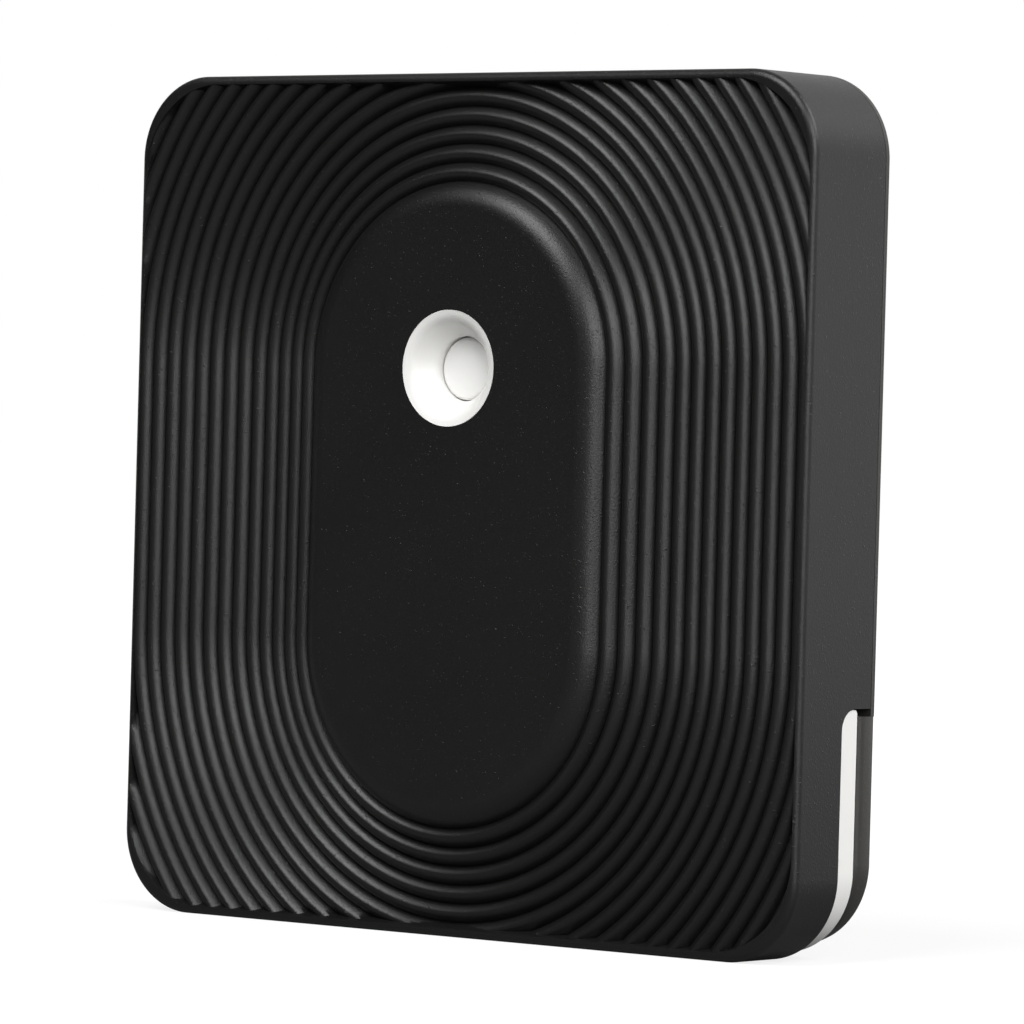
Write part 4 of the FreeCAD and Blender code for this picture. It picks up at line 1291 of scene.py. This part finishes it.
@dataclass(frozen=True)
class Internals:
    """The board, the electronics and the coin cell, which keep their solids."""

    steel: PlatedSteel = PlatedSteel("plated_steel")
    cell_steel: PlatedSteel = PlatedSteel("cell_steel", (0.66, 0.65, 0.62), (0.5, 0.49, 0.46),
                                          roughness=0.26, stretch=(1.0, 1.0, 0.04), line=0.1)
    board: BoardLaminate = BoardLaminate("board_laminate")
    chip: Epoxy = Epoxy("chip_epoxy", (0.012, 0.012, 0.013), (0.03, 0.03, 0.032), roughness=0.42)
    nylon: Epoxy = Epoxy("black_nylon", (0.02, 0.02, 0.02), (0.045, 0.045, 0.045))
    powder: Epoxy = Epoxy("pressed_powder", (0.02, 0.02, 0.022), (0.06, 0.06, 0.065), roughness=0.8,
                          grain=0.15, grain_depth=0.01)
    plunger: WhiteMoulding = WhiteMoulding("plunger_nylon", (0.8, 0.79, 0.74), (0.74, 0.73, 0.68))
    antenna: EndCapped = EndCapped("antenna_ceramic", "chip_antenna", (0.6, 0.57, 0.5))
    capacitor: EndCapped = EndCapped("capacitor_ceramic", "buffer_capacitor", (0.36, 0.22, 0.12))
    led: EndCapped = EndCapped("led_resin", "status_led", (0.75, 0.72, 0.45))

    def dress(self) -> None:
        """Give every solid that stays its finish."""
        steel = self.steel.material()
        cell_steel = self.cell_steel.material()
        chip = self.chip.material()
        finishes = {
            "circuit_board": self.board.material(),
            "radio_chip": chip,
            "humidity_sensor": chip,
            "board_components": chip,
            "crystal": steel,
            "switch_cover": steel,
            "switch_dome": steel,
            "contact_negative": steel,
            "contact_positive": steel,
            "board_screws": steel,
            "cell_can": cell_steel,
            "cell_cap": cell_steel,
            "cell_seal": self.nylon.material(),
            "switch_base": self.nylon.material(),
            "cell_electrodes": self.powder.material(),
            "switch_plunger": self.plunger.material(),
            "chip_antenna": self.antenna.material(),
            "buffer_capacitor": self.capacitor.material(),
            "status_led": self.led.material(),
        }
        for node, material in finishes.items():
            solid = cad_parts[node]
            for slot in solid.material_slots:
                slot.material = material
            LOG.info("%s dressed", node)


@dataclass(frozen=True)
class Softbox:
    """A square lamp that faces the sensor."""

    name: str
    azimuth: float
    elevation: float
    distance: float
    side: float
    radiance: float

    def light(self, target: Vector) -> None:
        """Hang the lamp.

        Args:
            target: The point that it faces, in metres.
        """
        turn = math.radians(self.azimuth)
        lift = math.radians(self.elevation)
        way = Vector((math.sin(turn) * math.cos(lift), -math.cos(turn) * math.cos(lift), math.sin(lift)))
        bpy.ops.object.light_add(type="AREA", location=target + way * self.distance)
        lamp = bpy.context.object
        lamp.name = self.name
        lamp.rotation_euler = way.to_track_quat("Z", "Y").to_euler()
        lamp.data.shape = "SQUARE"
        lamp.data.size = self.side
        lamp.data.energy = self.radiance * math.pi * self.side ** 2


@dataclass(frozen=True)
class Studio:
    """Camera, lamps, floor and pale surroundings."""

    housing: Housing
    camera_place: tuple[float, float, float] = (211.397, -263.537, 27.05)
    camera_turn: tuple[float, float, float] = (89.175, -1.567, 38.548)
    lens: float = 226.896
    sensor_width: float = 36.0
    clip_start: float = 0.01
    floor_side: float = 6.0
    floor_grey: float = 0.2
    floor_roughness: float = 0.9
    floor_near: float = 0.82
    floor_stops: Stops = ((0.0, 0.0), (0.06, 0.0), (0.25, 1.0))
    ambient: float = 0.03
    far_side: Stops = ((0.0, 0.0), (0.5, 0.0), (1.0, 1.0))
    softboxes: tuple[Softbox, ...] = (
        Softbox("key", azimuth=58, elevation=21, distance=0.7, side=0.44, radiance=6.0),
        Softbox("top", azimuth=-8, elevation=52, distance=0.8, side=0.5, radiance=7.7),
        Softbox("side", azimuth=115, elevation=40, distance=0.8, side=0.5, radiance=5.1),
    )

    def set_up(self) -> None:
        """Put up the camera, the lamps, the floor and the surroundings."""
        self._camera()
        target = self.housing.place(0, 0, 0)
        for softbox in self.softboxes:
            softbox.light(target)
        self._floor()
        self._surroundings()
        bpy.context.scene.view_settings.view_transform = "Standard"

    def _camera(self) -> None:
        """The camera, where the photograph was taken from."""
        bpy.ops.object.camera_add(location=Vector(self.camera_place) * MM,
                                  rotation=[math.radians(angle) for angle in self.camera_turn])
        camera = bpy.context.object
        camera.data.sensor_width = self.sensor_width
        camera.data.lens = self.lens
        camera.data.clip_start = self.clip_start
        bpy.context.scene.camera = camera

    def _floor(self) -> None:
        """A plain pale floor at the sensor's foot."""
        bpy.ops.mesh.primitive_plane_add(size=self.floor_side, location=(0, 0, 0))
        floor = bpy.context.object
        floor.name = "floor"
        shader = Shader("pale_floor")
        shader.set(Base_Color=(self.floor_grey,) * 3, Roughness=self.floor_roughness,
                   Specular_IOR_Level=0.0)
        distance = shader.node("ShaderNodeVectorMath", {"operation": "LENGTH"}, {0: shader.place})
        far = shader.ramp(Value(shader, distance.outputs["Value"]), self.floor_stops)
        behind = shader.math("GREATER_THAN", shader.axis("Y"), 0.0) * far
        pale = shader.blend(far, (self.floor_near,) * 3, (1.0, 1.0, 1.0))
        glow = shader.blend(self._seen(shader, behind), (0.0, 0.0, 0.0), pale)
        shader.set(Emission_Color=glow, Emission_Strength=1.0)
        floor.data.materials.append(shader.material)

    @staticmethod
    def _seen(shader: Shader, behind: Value) -> Value:
        """One for a camera ray, and behind the sensor for what gloss and glass show too.

        Args:
            shader: The material or the surroundings.
            behind: How far a place or direction counts as behind the sensor, from 0 to 1.

        Returns:
            A value from 0 to 1.
        """
        paths = shader.node("ShaderNodeLightPath")
        camera, glossy, passed = (Value(shader, paths.outputs[name]) for name in
                                  ("Is Camera Ray", "Is Glossy Ray", "Is Transmission Ray"))
        return shader.math("MINIMUM", camera + (glossy + passed) * behind, 1.0)

    def _surroundings(self) -> None:
        """White behind the sensor and to the camera, and a dim even light to everything else."""
        shader = Shader.of_world("surroundings")
        behind = shader.ramp(shader.axis("Y") * 0.5 + 0.5, self.far_side)
        dim = shader.node("ShaderNodeBackground", {}, {"Color": (1.0, 1.0, 1.0), "Strength": self.ambient})
        white = shader.node("ShaderNodeBackground", {}, {"Color": (1.0, 1.0, 1.0)})
        mix = shader.node("ShaderNodeMixShader", {}, {0: self._seen(shader, behind)})
        shader.tree.links.new(dim.outputs[0], mix.inputs[1])
        shader.tree.links.new(white.outputs[0], mix.inputs[2])
        shader.tree.links.new(mix.outputs[0], shader.output.inputs["Surface"])


def main() -> None:
    """Build the pieces in order, dress the solids and set up the studio."""
    logging.basicConfig(level=logging.INFO, format="%(message)s")
    housing = Housing.from_frame()
    bench = Bench(housing)
    black = BlackMoulding("black_moulding")
    # The whole cover's black is lighter than the shell's as painted sheen: it stands in for the light that
    # falls on the rear of the lip in the notch.
    painted_sheen_cover_black = BlackMoulding("cover_moulding_painted_sheen", (0.026, 0.025, 0.023), (0.034, 0.033, 0.031))
    white = WhiteMoulding("white_moulding")
    # The button's white is paler than the frame's as painted light: it makes up for the shade at the bottom
    # of the well.
    painted_light_button_white = WhiteMoulding("button_moulding_painted_light", (0.9, 0.895, 0.88), (0.87, 0.865, 0.85))
    builders = (FrontShell(housing, RippleField(housing), black), InnerFrame(housing, white),
                PushButton(housing, painted_light_button_white), RearCover(housing, painted_sheen_cover_black))
    for builder in builders:
        piece = builder.build(bench)
        LOG.info("%s: %d faces", piece.name, len(piece.data.polygons))
    Internals().dress()
    Studio(housing).set_up()


if __name__ == "__main__":
    main()
